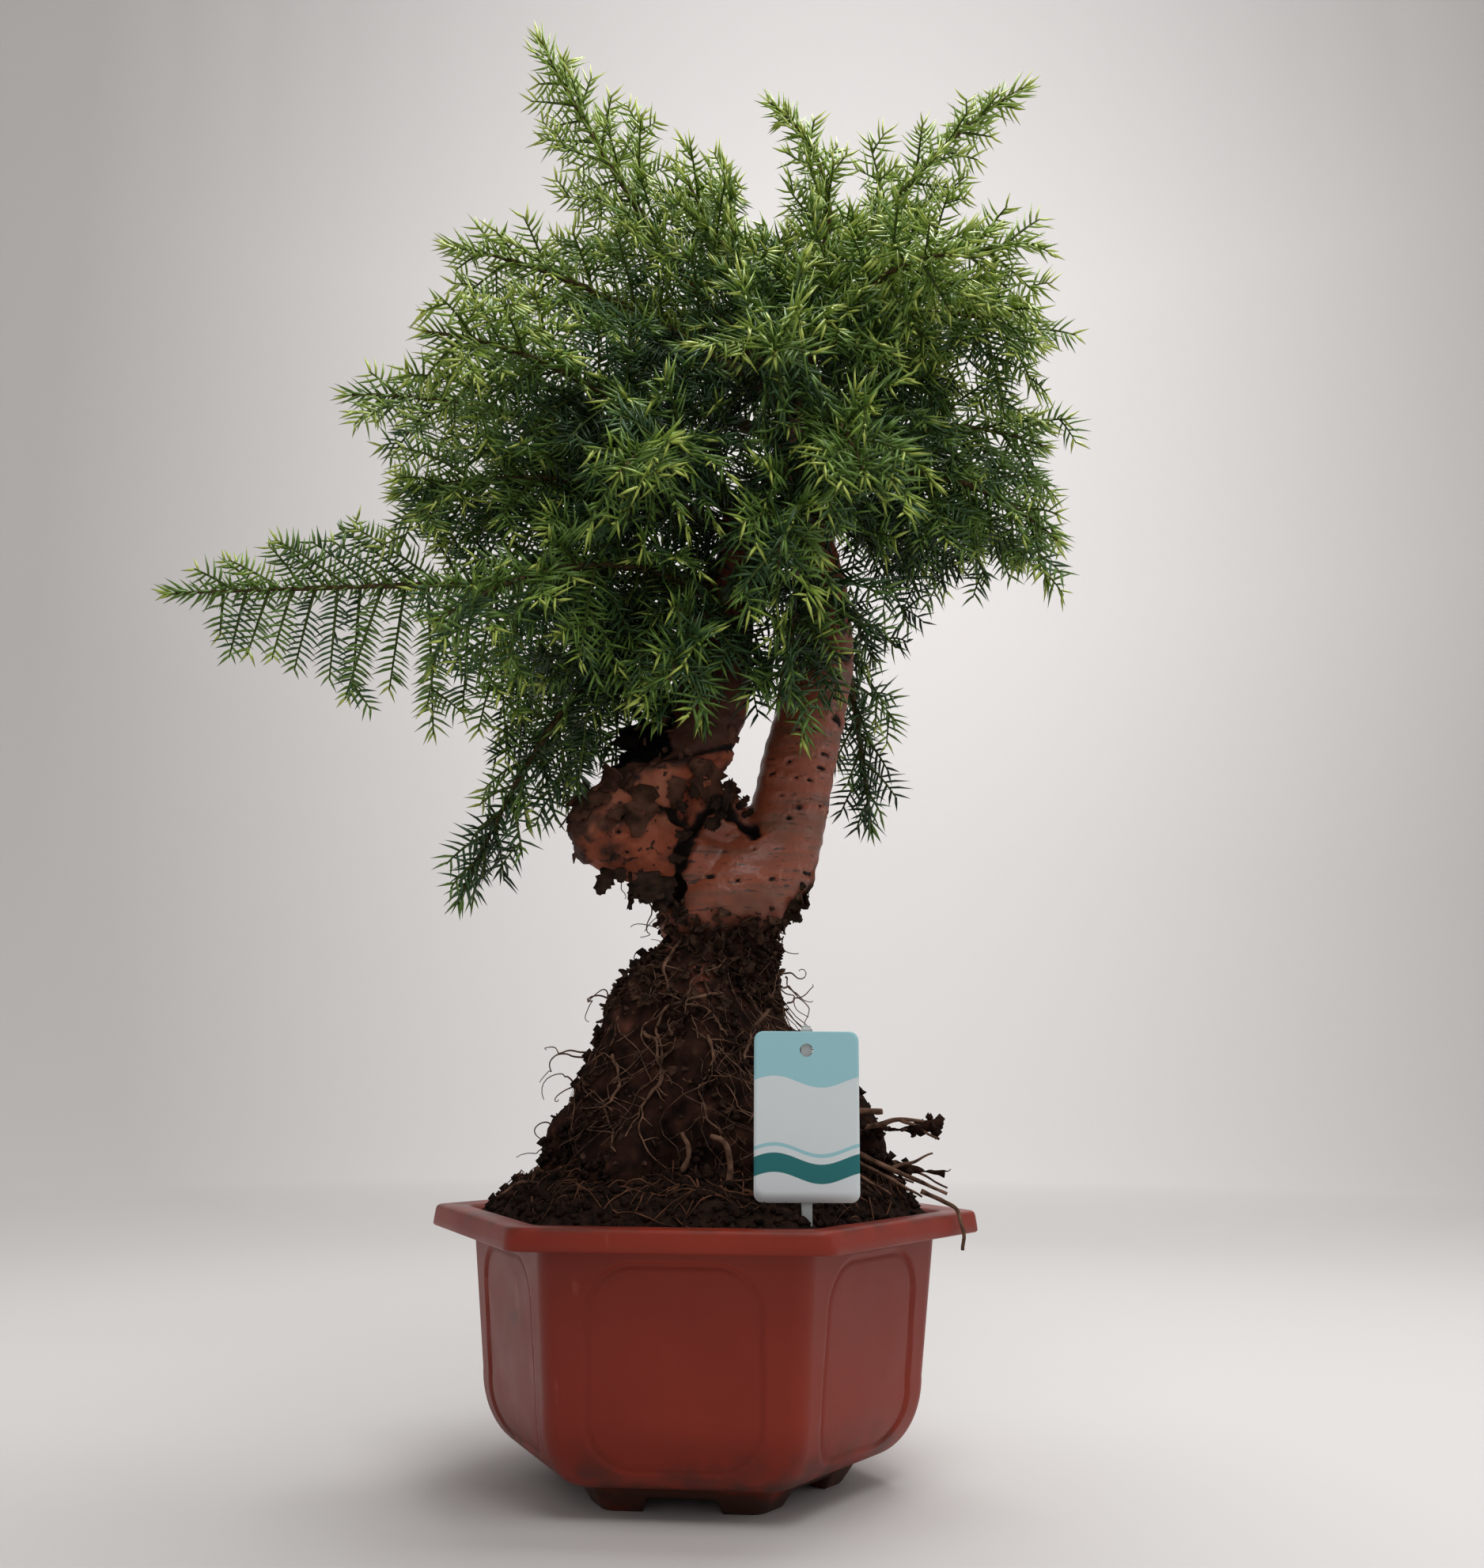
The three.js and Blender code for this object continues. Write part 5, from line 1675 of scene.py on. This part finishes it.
# Name, stem, height, bearing, reach, lift, arch, bare, spread and droop.
BOUGHS = (
    Bough("leader_left", T, 590, 180, 156, 235, -22, 0.3, 92, 0.05, tip_share=0.2),
    Bough("leader_middle", T, 622, 240, 20, 147, 0, 0.0, 68, 0.0, swing=34, tip_share=0.1),
    Bough("leader_inner", T, 604, 196, 66, 116, 0, 0.0, 76, 0.05),
    Bough("leader_right", T, 606, 356, 147, 183, 26, 0.25, 60, 0.05, tip_share=0.25),
    Bough("right_upper", T, 598, 345, 144, 66, 24, 0.25, 80, 0.15),
    Bough("right_high", T, 574, 337, 146, 16, 40, 0.25, 82, 0.3),
    Bough("right_middle", T, 545, 2, 148, 14, 18, 0.25, 82, 0.3),
    Bough("right_low", T, 515, 344, 142, -32, 30, 0.25, 60, 0.4),
    Bough("right_under", T, 497, 15, 134, 2, 22, 0.22, 54, 0.4),
    Bough("right_hanging", T, 470, 56, 60, -136, 30, 0.0, 40, 0.4),
    Bough("front_right", T, 536, 281, 131, -56, 32, 0.25, 70, 0.35, needle=1.12),
    Bough("front_middle", T, 506, 259, 122, -72, 30, 0.0, 68, 0.35, needle=1.12),
    Bough("front_low", T, 466, 250, 82, -88, 24, 0.0, 56, 0.35, needle=1.12),
    Bough("front_upper", T, 580, 263, 136, -40, 22, 0.25, 80, 0.2, needle=1.12),
    Bough("front_high_right", T, 586, 302, 142, 20, 24, 0.25, 78, 0.2, needle=1.12),
    Bough("back_right", T, 560, 62, 150, 92, 22, 0.25, 82, 0.25),
    Bough("back_middle", T, 596, 100, 156, 96, 18, 0.25, 82, 0.2),
    Bough("back_low", T, 492, 108, 140, 10, 30, 0.25, 78, 0.35),
    Bough("back_left", T, 552, 146, 186, 48, 26, 0.3, 84, 0.25),
    Bough("left_upper", T, 576, 186, 204, 92, 16, 0.3, 84, 0.15, tip_share=0.3),
    Bough("left_middle", S, 512, 182, 222, 62, 18, 0.25, 88, 0.2, tip_share=0.3),
    Bough("left_low", S, 496, 192, 188, 4, 20, 0.22, 84, 0.3),
    Bough(
        "left_long", S, 468, 185, 305, -22, 1, 0.18, 140, 0.1, turn=180.0, hang=0.05, tip_share=0.17, needle=0.84
    ),
    Bough("left_hanging", S, 440, 193, 140, -160, 50, 0.25, 40, 0.4, tip_share=0.5),
    Bough("front_left", S, 505, 246, 142, -30, 28, 0.22, 72, 0.3, needle=1.12),
    Bough("left_under", S, 452, 213, 172, -42, 26, 0.0, 78, 0.35),
    Bough("front_low_left", S, 436, 250, 84, -52, 20, 0.0, 58, 0.35, needle=1.12),
    Bough("front_high_left", S, 514, 212, 188, 50, 22, 0.25, 82, 0.2, needle=1.12),
    Bough("back_low_left", S, 455, 140, 160, -26, 30, 0.22, 68, 0.35),
)
LIMBS = sorted("bough_" + bough.name for bough in BOUGHS if bough.bare > 0)
MASSES = ["foliage_" + bough.name for bough in BOUGHS]


class Tint(Enum):
    """The greens that sprays are dealt, from the crown's inside to its tips: partly the needles' own age,
    partly painted shade inside and below and painted light outside, above and in front.
    """

    DEEP = 0
    SHADE = 1
    MIDDLE = 2
    FRESH = 3
    TIP = 4


GREENS = {
    Tint.DEEP: (0.012, 0.032, 0.008),
    Tint.SHADE: (0.040, 0.096, 0.029),
    Tint.MIDDLE: (0.110, 0.204, 0.031),
    Tint.FRESH: (0.225, 0.338, 0.044),
    Tint.TIP: (0.410, 0.500, 0.095),
}


def ranks(counts: Array) -> tuple[Array, Array]:
    """Owner and rank of each thing, where owner k has counts[k] things."""
    owner = np.repeat(np.arange(len(counts)), counts)
    return owner, np.arange(len(owner)) - np.repeat(np.cumsum(counts) - counts, counts)


@dataclass
class Shoots:
    """Many shoots of one order, each with its path and how it bears needles.

    Attributes:
        paths: Points, as shoots by places by 3.
        facing: Normals of the planes that most needles spread in.
        tint: Tint numbers.
        all_round: Shares of needles that stand all round, not in two combs.
        needle: Lengths of needles, as shares of the usual.
        skip: Share of each path without needles.
        crowding: Needles for each one of a usual shoot.
    """

    paths: Array
    facing: Array
    tint: Array
    all_round: Array
    needle: Array
    skip: float = 0.04
    crowding: float = 1.0

    @property
    def lengths(self) -> Array:
        """Length of each path."""
        return np.linalg.norm(np.diff(self.paths, axis=1), axis=2).sum(1)

    def at(self, shoot: Array, share: Array) -> tuple[Array, Array]:
        """Places on shoots.

        Args:
            shoot: Numbers of shoots.
            share: Shares of their lengths.

        Returns:
            Points and tangents.
        """
        place = np.clip(share, 0, 0.9999) * (self.paths.shape[1] - 1)
        index = place.astype(int)
        first, second = self.paths[shoot, index], self.paths[shoot, index + 1]
        return first + (second - first) * (place - index)[:, None], unit(second - first)

    @staticmethod
    def join(sets: Sequence[Shoots]) -> Shoots:
        """Sets of one order, joined."""
        columns = ([getattr(one, name) for one in sets] for name in ("paths", "facing", "tint", "all_round", "needle"))
        return Shoots(*map(np.concatenate, columns), sets[0].skip, sets[0].crowding)


@dataclass
class Foliage:
    """Boughs, twigs and needles, grown from the stems by the part source's rule and carried on to finer twigs."""

    layout: Layout
    stems: Stems
    bough_radii: Point = (5.5, 2.6, 0.7)
    crown_middle: Point = (10.0, 0.0, 530.0)
    crown_half: Point = (190.0, 150.0, 200.0)
    tint_steps: Point = (0.58, 0.86, 1.25)
    shoot_pitch: float = 6.5
    row_pitch: float = 1.05
    first: float = 0.02
    last: float = 0.9
    foot_angle: float = 66.0
    tip_angle: float = 46.0
    jitter: float = 0.35
    twig_pitch: float = 15.0
    twig_share: float = 0.55
    twig_angle: float = math.radians(52.0)
    twig_sizes: Pair = (14.0, 44.0)
    bearing_twigs: float = 34.0
    needle: float = 13.0
    needle_pitch: float = 1.9
    needle_width: float = 0.86
    needle_bend: float = 0.2
    tuft: float = 9.0
    inner_share: float = 0.6
    piece_limit: int = 19000

    def build(self) -> None:
        """Makes boughs, twigs and needles, which replace all boughs' and masses' solids.

        A mass's own axis is a shoot too, with crowded needles all round.
        """
        axes, sides, twigs, curves = [], [], [], []
        for index, bough in enumerate(BOUGHS):
            curves.append(bough.curve(self.stems.axis_at(bough.stem, bough.height)))
            axis = resampled(curves[-1], 40, bough.bare * self.inner_share, 1.0)
            facing = unit(np.cross(unit(axis[-1] - axis[0]), [0.3, 0.2, 0.9]))
            tint, one = self.tint_at(axis[None, 30], np.array([0.5])), np.ones(1)
            axes.append(Shoots(axis[None], facing[None], tint, 0.9 * one, bough.needle * one, skip=0.12, crowding=1.8))
            sides.append(self.side_shoots(bough, index, axis))
            twigs.append(self.twigs(bough, index, sides[-1]))
        self.limbs(np.stack(curves))
        groups = [Shoots.join(axes), Shoots.join(sides), Shoots.join(twigs)]
        self.green_twigs(groups[1:])
        self.needles(groups)

    def limbs(self, paths: Array) -> None:
        """Boughs and the woody axes of their masses, with knobs, thinning from stem to foliage to tip.

        Args:
            paths: Points, as boughs by places by 3.
        """
        count, places = paths.shape[:2]
        share = np.linspace(0, 1, places)
        ends = ([0.0, max(bough.bare, 0.12), 1.0] for bough in BOUGHS)
        radii = np.stack([np.interp(share, end, self.bough_radii) for end in ends])
        knobs = 1 + 0.14 * np.sin(np.linspace(0, 40, places) + np.arange(count)[:, None])
        finish = WoodFinish("bough_bark", (0.030, 0.022, 0.010), (0.115, 0.075, 0.035), 260.0).material()
        tubes(paths, radii * knobs, 8).piece("boughs_bark", self.layout, finish, Slot.BOUGH, LIMBS)

    def tint_at(self, places: Array, luck: Array) -> Array:
        """Tints by place: darker inside and below, lighter outside, above and in front: partly younger and older
        needles, partly painted light and shade.

        Args:
            places: Places, one row each.
            luck: A number from 0 to 1 for each.

        Returns:
            Tint numbers.
        """
        out = np.linalg.norm((places - np.array(self.crown_middle)) / np.array(self.crown_half), axis=-1)
        high = (places[..., 2] - 520.0) / 200.0
        front = -places[..., 1] / 150.0
        # Painted light and shade, with the needles' own age: higher and nearer sprays get lighter greens, inner ones
        # darker.
        score = 1.15 * np.minimum(out, 1.0) + 0.45 * high + 0.30 * front + 0.7 * (luck - 0.5)
        return np.digitize(score, self.tint_steps)

    def side_shoots(self, bough: Bough, index: int, axis: Array) -> Shoots:
        """Side shoots up the axis: each leans out at an angle that narrows to the tip, shortens and droops.

        Shoot k leaves at an even share of the axis, rolled by k times the bough's turn, and follows
        foot + direction * length * q - up * droop * length * q^2 for q from 0 to 1. Two rows lean less even, and
        the lower row more than the upper one.

        Args:
            bough: The bough.
            index: Its number.
            axis: Points from the mass's foot to its tip.

        Returns:
            The side shoots.
        """
        length = np.linalg.norm(np.diff(axis, axis=0), axis=1).sum()
        count = max(6, round(length / (self.shoot_pitch * (self.row_pitch if bough.two_rows else 1.0))))
        k = np.arange(count)
        share = (k + 0.5) / count
        along = mix(self.first, self.last, share)
        place = along * (len(axis) - 1)
        low = place.astype(int)
        foot = axis[low] + (axis[low + 1] - axis[low]) * (place - low)[:, None]
        tangent = unit(axis[low + 1] - axis[low])
        level = unit(np.cross(tangent, UP))
        above = np.cross(level, tangent)
        roll = np.radians(90 + k * bough.turn + 50 * (chance(index, k) - 0.5))
        lean = np.radians(mix(self.foot_angle, self.tip_angle, share))
        if bough.two_rows:
            lean = lean + np.where(np.sin(roll) > 0, -0.02, 0.46) + 0.36 * (chance(index + 30.0, k) - 0.5)
        out = level * np.cos(roll)[:, None] + above * np.sin(roll)[:, None]
        way = tangent * np.cos(lean)[:, None] + np.sin(lean)[:, None] * out
        luck = 1 + self.jitter * (chance(index, k + 50) - 0.6)
        luck = luck * (1 - bough.hang * np.sin(roll))
        size = bough.spread * mix(1.0, bough.tip_share, share**0.8) * luck
        size = np.minimum(size, 7.0 + length * (1 - along) / np.maximum(np.cos(lean), 0.3))
        return self.drooping(bough, (foot, way, unit(np.cross(tangent, way))), size, index, spin=0.15)

    def drooping(self, bough: Bough, stand: Sequence[Array], size: Array, seed: float, spin: float) -> Shoots:
        """Shoots that leave along a direction and fall away by the square of the distance.

        Args:
            bough: The bough.
            stand: Each shoot's foot, direction and facing.
            size: Lengths.
            seed: Picks the tints.
            spin: Share of needles that stand all round.

        Returns:
            The shoots.
        """
        foot, way, facing = stand
        q = np.linspace(0, 1, 9)[None, :, None]
        reach = size[:, None, None]
        paths = foot[:, None] + way[:, None] * reach * q - UP * (bough.droop * reach * q * q)
        count = len(foot)
        tint = self.tint_at(paths[:, -1], chance(seed + 400.0, np.arange(count)))
        return Shoots(paths, facing, tint, np.full(count, spin), np.full(count, bough.needle), 0.03)

    def twigs(self, bough: Bough, index: int, side: Shoots) -> Shoots:
        """Finer twigs on the longer side shoots: on alternate sides, in the shoot's plane, each shorter outwards.

        Args:
            bough: The bough.
            index: Its number.
            side: Its side shoots.

        Returns:
            The twigs. Side shoots in two rows bear a quarter of them.
        """
        lengths = side.lengths
        wanted = np.where(lengths > self.bearing_twigs, np.floor(lengths / self.twig_pitch), 0).astype(int)
        if bough.two_rows:
            wanted = wanted // 4
        parent, order = ranks(wanted)
        number = np.arange(len(parent))
        luck = chance(index + 60.0, number)
        share = np.clip((order + 0.4 + 0.5 * luck) / np.maximum(wanted[parent], 1), 0.05, 0.86)
        foot, tangent = side.at(parent, share)
        across = unit(np.cross(side.facing[parent], tangent))
        hand = np.where(order % 2 == 0, 1.0, -1.0)[:, None]
        tilt = 0.9 * (chance(index + 80.0, number) - 0.5)[:, None]
        way = tangent * math.cos(self.twig_angle) + across * hand * math.sin(self.twig_angle)
        way = unit(way + side.facing[parent] * tilt)
        size = lengths[parent] * self.twig_share * (1 - 0.75 * share) * (0.75 + 0.5 * luck)
        stand = foot, way, unit(np.cross(tangent, way))
        return self.drooping(bough, stand, np.clip(size, *self.twig_sizes), index + 0.5, spin=0.1)

    def green_twigs(self, groups: Sequence[Shoots]) -> None:
        """Thin green stalks that taper to their tips.

        Args:
            groups: The side shoots and the twigs.
        """
        finish = WoodFinish("green_twig", (0.030, 0.048, 0.012), (0.085, 0.115, 0.030), 500.0, 0.6).material()
        for group, name, radius, sides in zip(groups, ("side_shoots", "twigs"), (1.0, 0.7), (5, 4)):
            taper = radius * np.linspace(1.0, 0.45, group.paths.shape[1])
            made = tubes(group.paths, np.repeat(taper[None], len(group.paths), 0), sides)
            made.piece(name, self.layout, finish, Slot.FOLIAGE, MASSES)

    def needles(self, groups: Sequence[Shoots]) -> None:
        """All needles, one piece or more for each tint.

        Args:
            groups: The axes, the side shoots and the twigs.
        """
        grown = [self.needle_arrays(group, order) for order, group in enumerate(groups)]
        *columns, tints = (np.concatenate(column) for column in zip(*grown))
        for tint, green in GREENS.items():
            chosen = np.flatnonzero(tints == tint.value)
            label = "needles_" + tint.name.lower()
            finish = NeedleFinish("needle_" + tint.name.lower(), green).material()
            parts = max(1, math.ceil(len(chosen) / self.piece_limit))
            for part, some in enumerate(np.array_split(chosen, parts)):
                made = self.needle_shape(*(column[some] for column in columns))
                made.piece(f"{label}_{part + 1}", self.layout, finish, Slot.FOLIAGE, MASSES, smooth=False)

    def needle_arrays(self, shoots: Shoots, order: int) -> tuple[Array, Array, Array, Array, Array, Array]:
        """Where each needle of a shoot set stands.

        Needles sit at an even pitch up the shoot. Most spread in two combs in the shoot's plane, at an angle
        that closes towards the tip, and the last ones form a tuft.

        Args:
            shoots: The shoots.
            order: 0 for axes, 1 for side shoots, 2 for twigs.

        Returns:
            Feet, outward directions, shoot tangents, lengths, widths and tint numbers.
        """
        lengths = shoots.lengths * (1 - shoots.skip)
        wanted = np.maximum(8, np.round(lengths * shoots.crowding / self.needle_pitch / shoots.needle)).astype(int)
        shoot, rank = ranks(wanted)
        share = (rank + 0.5) / wanted[shoot]
        foot, tangent = shoots.at(shoot, shoots.skip + (1 - shoots.skip) * share)
        normal = square_to(tangent, shoots.facing[shoot])
        side = np.cross(tangent, normal)
        luck = [chance(500.0 + 10.0 * order + k, np.arange(len(shoot))) for k in range(5)]
        comb = np.where(rank % 2 == 0, 0.0, math.pi) + 1.2 * (luck[0] - 0.5)
        angle = np.where(luck[1] < shoots.all_round[shoot], GOLDEN_TURN * rank, comb)
        radial = side * np.cos(angle)[:, None] + normal * np.sin(angle)[:, None]
        young = np.clip(1 - lengths[shoot] * (1 - share) / self.tuft, 0, 1)
        lean = mix(68.0, 30.0, np.maximum(ease(0.86, 1.0, share), 0.75 * young)) + 12 * (luck[2] - 0.5)
        size = shoots.needle[shoot]
        lean = np.radians(lean + 40 * np.maximum(1 - size, 0))
        way = unit(tangent * np.cos(lean)[:, None] + radial * np.sin(lean)[:, None])
        length = self.needle * size * mix(1.0, 0.62, young) * (0.82 + 0.36 * luck[3])
        length = length * mix(0.72, 1.0, ease(0.0, 0.25, share))
        width = self.needle_width * (0.85 + 0.3 * luck[4])
        tint = shoots.tint[shoot]
        tint = np.where((young > 0.35) & (tint >= 1), np.minimum(tint + 1, Tint.TIP.value), tint)
        tint = np.where((young > 0.6) & (tint >= Tint.FRESH.value), Tint.TIP.value, tint)
        return foot, way, tangent, length, width, tint

    def needle_shape(self, foot: Array, way: Array, tangent: Array, length: Array, width: Array) -> Shape:
        """Needles as three-sided spikes that curve in: foot + way * l * t + tangent * bend * l * t^2.

        Args:
            foot: Where each leaves its shoot.
            way: Its direction.
            tangent: The shoot's direction there.
            length: Its length.
            width: Its radius where it is thickest.

        Returns:
            All needles as one shape.
        """
        first = unit(np.cross(tangent, way))
        ring = spokes(first, np.cross(way, first), np.array([0.0, FULL_TURN / 3, 2 * FULL_TURN / 3]))
        points = []
        for t, share in ((0.0, 0.8), (0.42, 1.0), (1.0, 0.0)):
            middle = foot + way * (length * t)[:, None] + tangent * (self.needle_bend * length * t * t)[:, None]
            points.append(middle[:, None] + (ring * (width * share)[:, None, None] if share else 0.0))
        vertices = np.concatenate(points, 1).reshape(-1, 3)
        base, foot_sides = [[0, 2, 1]], [[0, 1, 4], [0, 4, 3], [1, 2, 5], [1, 5, 4], [2, 0, 3], [2, 3, 5]]
        faces = np.array(base + foot_sides + [[3, 4, 6], [4, 5, 6], [5, 3, 6]])
        return Shape(vertices, [(faces[None] + 7 * np.arange(len(foot))[:, None, None]).reshape(-1, 3)])


# Small things


@dataclass
class Label:
    """The blank plant label: a card with a hanging hole on a slim clear stem."""

    layout: Layout
    x: float = 47.5
    y: float = -95.0
    bottom: float = 138.0
    width: float = 48.0
    height: float = 76.0
    thickness: float = 0.6
    corner: float = 4.0
    hole: float = 3.0
    hole_drop: float = 8.5
    stem_width: float = 5.0
    stem_thickness: float = 1.4
    stem_above: float = 2.5
    stem_below: float = 36.0

    def build(self) -> None:
        """Makes the card and the stem, which replace their solids."""
        card, clear = CardFinish().material(), ClearFinish().material()
        self.card_shape().piece("label_card_face", self.layout, card, Slot.CARD, ["label_card"], smooth=False)
        self.stem_shape().piece("label_stem_strip", self.layout, clear, Slot.STEM, ["label_stem"])

    def outline(self, count: int) -> Array:
        """The card's rounded outline, counter-clockwise: four corner arcs, spaced evenly by length.

        Args:
            count: How many points to give.

        Returns:
            Points of x and height about the card's middle.
        """
        r = self.corner
        w, h = self.width / 2 - r, self.height / 2 - r
        arcs = []
        for k, (x, z) in enumerate(((w, h), (-w, h), (-w, -h), (w, -h))):
            angle = np.linspace(0, math.pi / 2, 9) + k * math.pi / 2
            arcs.append(np.stack([x + r * np.cos(angle), z + r * np.sin(angle), 0 * angle], -1))
        return resampled(np.concatenate([*arcs, arcs[0][:1]]), count + 1)[:-1, :2]

    def card_shape(self) -> Shape:
        """Rings from the hole's edge to the outline, front and back, closed round both edges.

        Returns:
            The card, with the mark rise up its height.
        """
        count, rings = 160, 14
        outer = self.outline(count)
        hole_at = np.array([0.0, self.height / 2 - self.hole_drop])
        inner = hole_at + self.hole * unit(outer - hole_at)
        sheet = inner[None] + (outer - inner)[None] * np.linspace(0, 1, rings)[:, None, None]
        loops = np.concatenate([sheet, sheet[::-1], sheet[:1]])
        depth = np.array([-self.thickness] * rings + [0.0] * rings + [-self.thickness])
        deep = self.y + np.repeat(depth[:, None], count, 1)
        up = self.bottom + self.height / 2 + loops[..., 1]
        made = wrapped_grid(np.stack([self.x + loops[..., 0], deep, up], -1), closed_ends=False)
        rise = (made.vertices[:, 2] - self.bottom) / self.height
        made.marks["rise"] = rise + 0.035 * np.sin((made.vertices[:, 0] - self.x) / self.width * 7.0 + 0.6)
        return made

    def stem_shape(self) -> Shape:
        """A strip of rounded section, a superellipse, that tapers to a point in the soil.

        Returns:
            The strip.
        """
        height = np.array([0.0, 0.04, 0.12, 0.5, 0.97, 1.0]) * (self.stem_below + self.height + self.stem_above)
        wide = np.array([0.15, 0.5, 1.0, 1.0, 1.0, 0.8])[:, None]
        c, s = np.cos(turns(24)), np.sin(turns(24))
        across = np.sign(c) * np.abs(c) ** 0.35 * self.stem_width / 2
        deep = np.sign(s) * np.abs(s) ** 0.35 * self.stem_thickness / 2
        back = np.repeat((self.y + 0.3 + self.stem_thickness / 2 + deep)[None], len(height), 0)
        up = np.repeat((self.bottom - self.stem_below + height)[:, None], len(deep), 1)
        return wrapped_grid(np.stack([self.x + wide * across, back, up], -1))


@dataclass
class Studio:
    """The pale floor that sweeps up far away, the soft lights and the camera."""

    layout: Layout
    focal: float = 1850.0
    frame_height: float = 1982.0
    sensor: float = 36.0
    eye: Point = (1.0, -776.3, 189.6)
    pitch: float = 0.203
    yaw: float = 0.024
    roll: float = 0.005
    floor_radius: float = 2400.0
    sweep_radius: float = 1800.0
    paper: Colour = (0.570, 0.553, 0.542)
    wall_light: Colour = (1.0, 0.970, 0.960)
    sky: Colour = (0.93, 0.94, 0.96)

    def build(self) -> None:
        """Makes the floor, the lights and the camera."""
        self.sweep()
        self.camera()
        self.light("key_softbox", (300, 350, 1880), (0, 0, 450), size=1.2, watts=31.0)
        self.light("front_softbox", (260, -950, 1850), (0, 0, 480), size=0.9, watts=15.0)
        self.light("right_softbox", (1800, -300, 900), (0, 0, 400), size=1.2, watts=4.0)
        world = bpy.data.worlds.new("studio")
        world.use_nodes = True
        back = next(n for n in world.node_tree.nodes if n.type == "BACKGROUND")
        back.inputs["Color"].default_value = (*self.sky, 1.0)
        back.inputs["Strength"].default_value = 0.16
        bpy.context.scene.world = world
        bpy.context.scene.view_settings.view_transform = "Standard"

    def sweep(self) -> None:
        """A floor disc that curves up into a wall all round: a profile of radius and height turned about the axis."""
        angle = np.linspace(0, math.pi / 2, 15)[1:]
        wall = self.floor_radius + self.sweep_radius
        curve = self.floor_radius + self.sweep_radius * np.sin(angle)
        radius = np.concatenate([[20, 400, 1200, self.floor_radius], curve, [wall, wall]])[:, None]
        height = np.concatenate([[0, 0, 0, 0], self.sweep_radius * (1 - np.cos(angle)), [3000, 6500]])[:, None]
        turn = turns(96)
        rows = np.stack([radius * np.cos(turn), radius * np.sin(turn), np.repeat(height, 96, 1)], -1)
        shape = wrapped_grid(rows, closed_ends=False)
        shape.polygons.append(np.arange(96)[None])
        shape.marks["glow"] = self.glow(shape.vertices)
        finish = Recipe("studio_paper", 0.9)
        finish.plain("Base Color", self.paper)
        finish.plain("Emission Color", self.wall_light)
        finish.feed(finish.shader.inputs["Emission Strength"], finish.mark("glow"))
        finish.material.cycles.emission_sampling = "NONE"
        shape.thing("studio_floor", self.layout, finish.material)

    def glow(self, places: Array) -> Array:
        """The wall's own light: even all round, but behind the plant a soft round patch as the viewer sees it.

        With u and v the sideways and upward slopes from the eye, the patch is a bell over u and v.

        Args:
            places: The wall's points.

        Returns:
            The light's strength at each.
        """
        away = places - np.array(self.eye)
        depth = np.maximum(away[:, 1], 1.0)
        u, v = away[:, 0] / depth, away[:, 2] / depth
        patch = np.exp(-(((u - 0.10) / 0.49) ** 2) - ((v - 0.60) / 0.90) ** 2)
        far = ease(900.0, 2600.0, np.hypot(places[:, 0], places[:, 1]))
        return far * mix(0.20, np.maximum(0.64 * patch, 0.15), ease(0.0, 1500.0, places[:, 1]))

    def put(self, name: str, data: bpy.types.ID, axes: Sequence[Array], place: Array) -> bpy.types.Object:
        """Puts a light or a camera into the scene.

        Args:
            name: Its name.
            data: The light or the camera.
            axes: Its own side, top and back directions.
            place: Its place, in metres.

        Returns:
            The object.
        """
        thing = bpy.data.objects.new(name, data)
        matrix = Matrix.Identity(4)
        for row, values in enumerate(np.stack([*axes, place], -1)):
            matrix[row][:] = values
        thing.matrix_world = matrix
        bpy.context.collection.objects.link(thing)
        return thing

    def light(self, name: str, place: Point, target: Point, size: float, watts: float) -> None:
        """A square area light that faces a target.

        Args:
            name: Its name.
            place: Where it hangs.
            target: What it faces.
            size: Its side, in metres.
            watts: Its power.
        """
        data = bpy.data.lights.new(name, "AREA")
        data.size = size
        data.energy = watts
        at, to = self.layout.world(np.array([place, target]))
        back = unit(at - to)
        side = unit(np.cross([0.0, 1.0, 0.02], back))
        self.put(name, data, (side, np.cross(back, side), back), at)

    def camera(self) -> None:
        """The viewer's camera: its axes from pitch, yaw and roll, its lens from the focal length in pixels."""
        data = bpy.data.cameras.new("viewer")
        data.sensor_width = self.sensor
        data.lens = self.focal / self.frame_height * self.sensor
        data.clip_start, data.clip_end = 0.05, 30.0
        flat = math.cos(self.pitch)
        ahead = np.array([math.sin(self.yaw) * flat, math.cos(self.yaw) * flat, math.sin(self.pitch)])
        right = unit(np.cross(ahead, UP))
        over = np.cross(right, ahead)
        side = math.cos(self.roll) * right + math.sin(self.roll) * over
        top = math.cos(self.roll) * over - math.sin(self.roll) * right
        eye = self.layout.world(np.array(self.eye))
        bpy.context.scene.camera = self.put("viewer", data, (side, top, -ahead), eye)


def main() -> None:
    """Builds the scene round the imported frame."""
    logging.basicConfig(level=logging.INFO, format="%(message)s")
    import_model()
    layout = Layout.from_frame()
    Studio(layout).build()
    Pot(layout).build()
    Soil(layout).build()
    stems = Stems(layout)
    skin = stems.build()
    BarkFlakes(layout, skin).build()
    Roots(layout, stems, skin).build()
    Foliage(layout, stems).build()
    Label(layout).build()


if __name__ == "__main__":
    main()
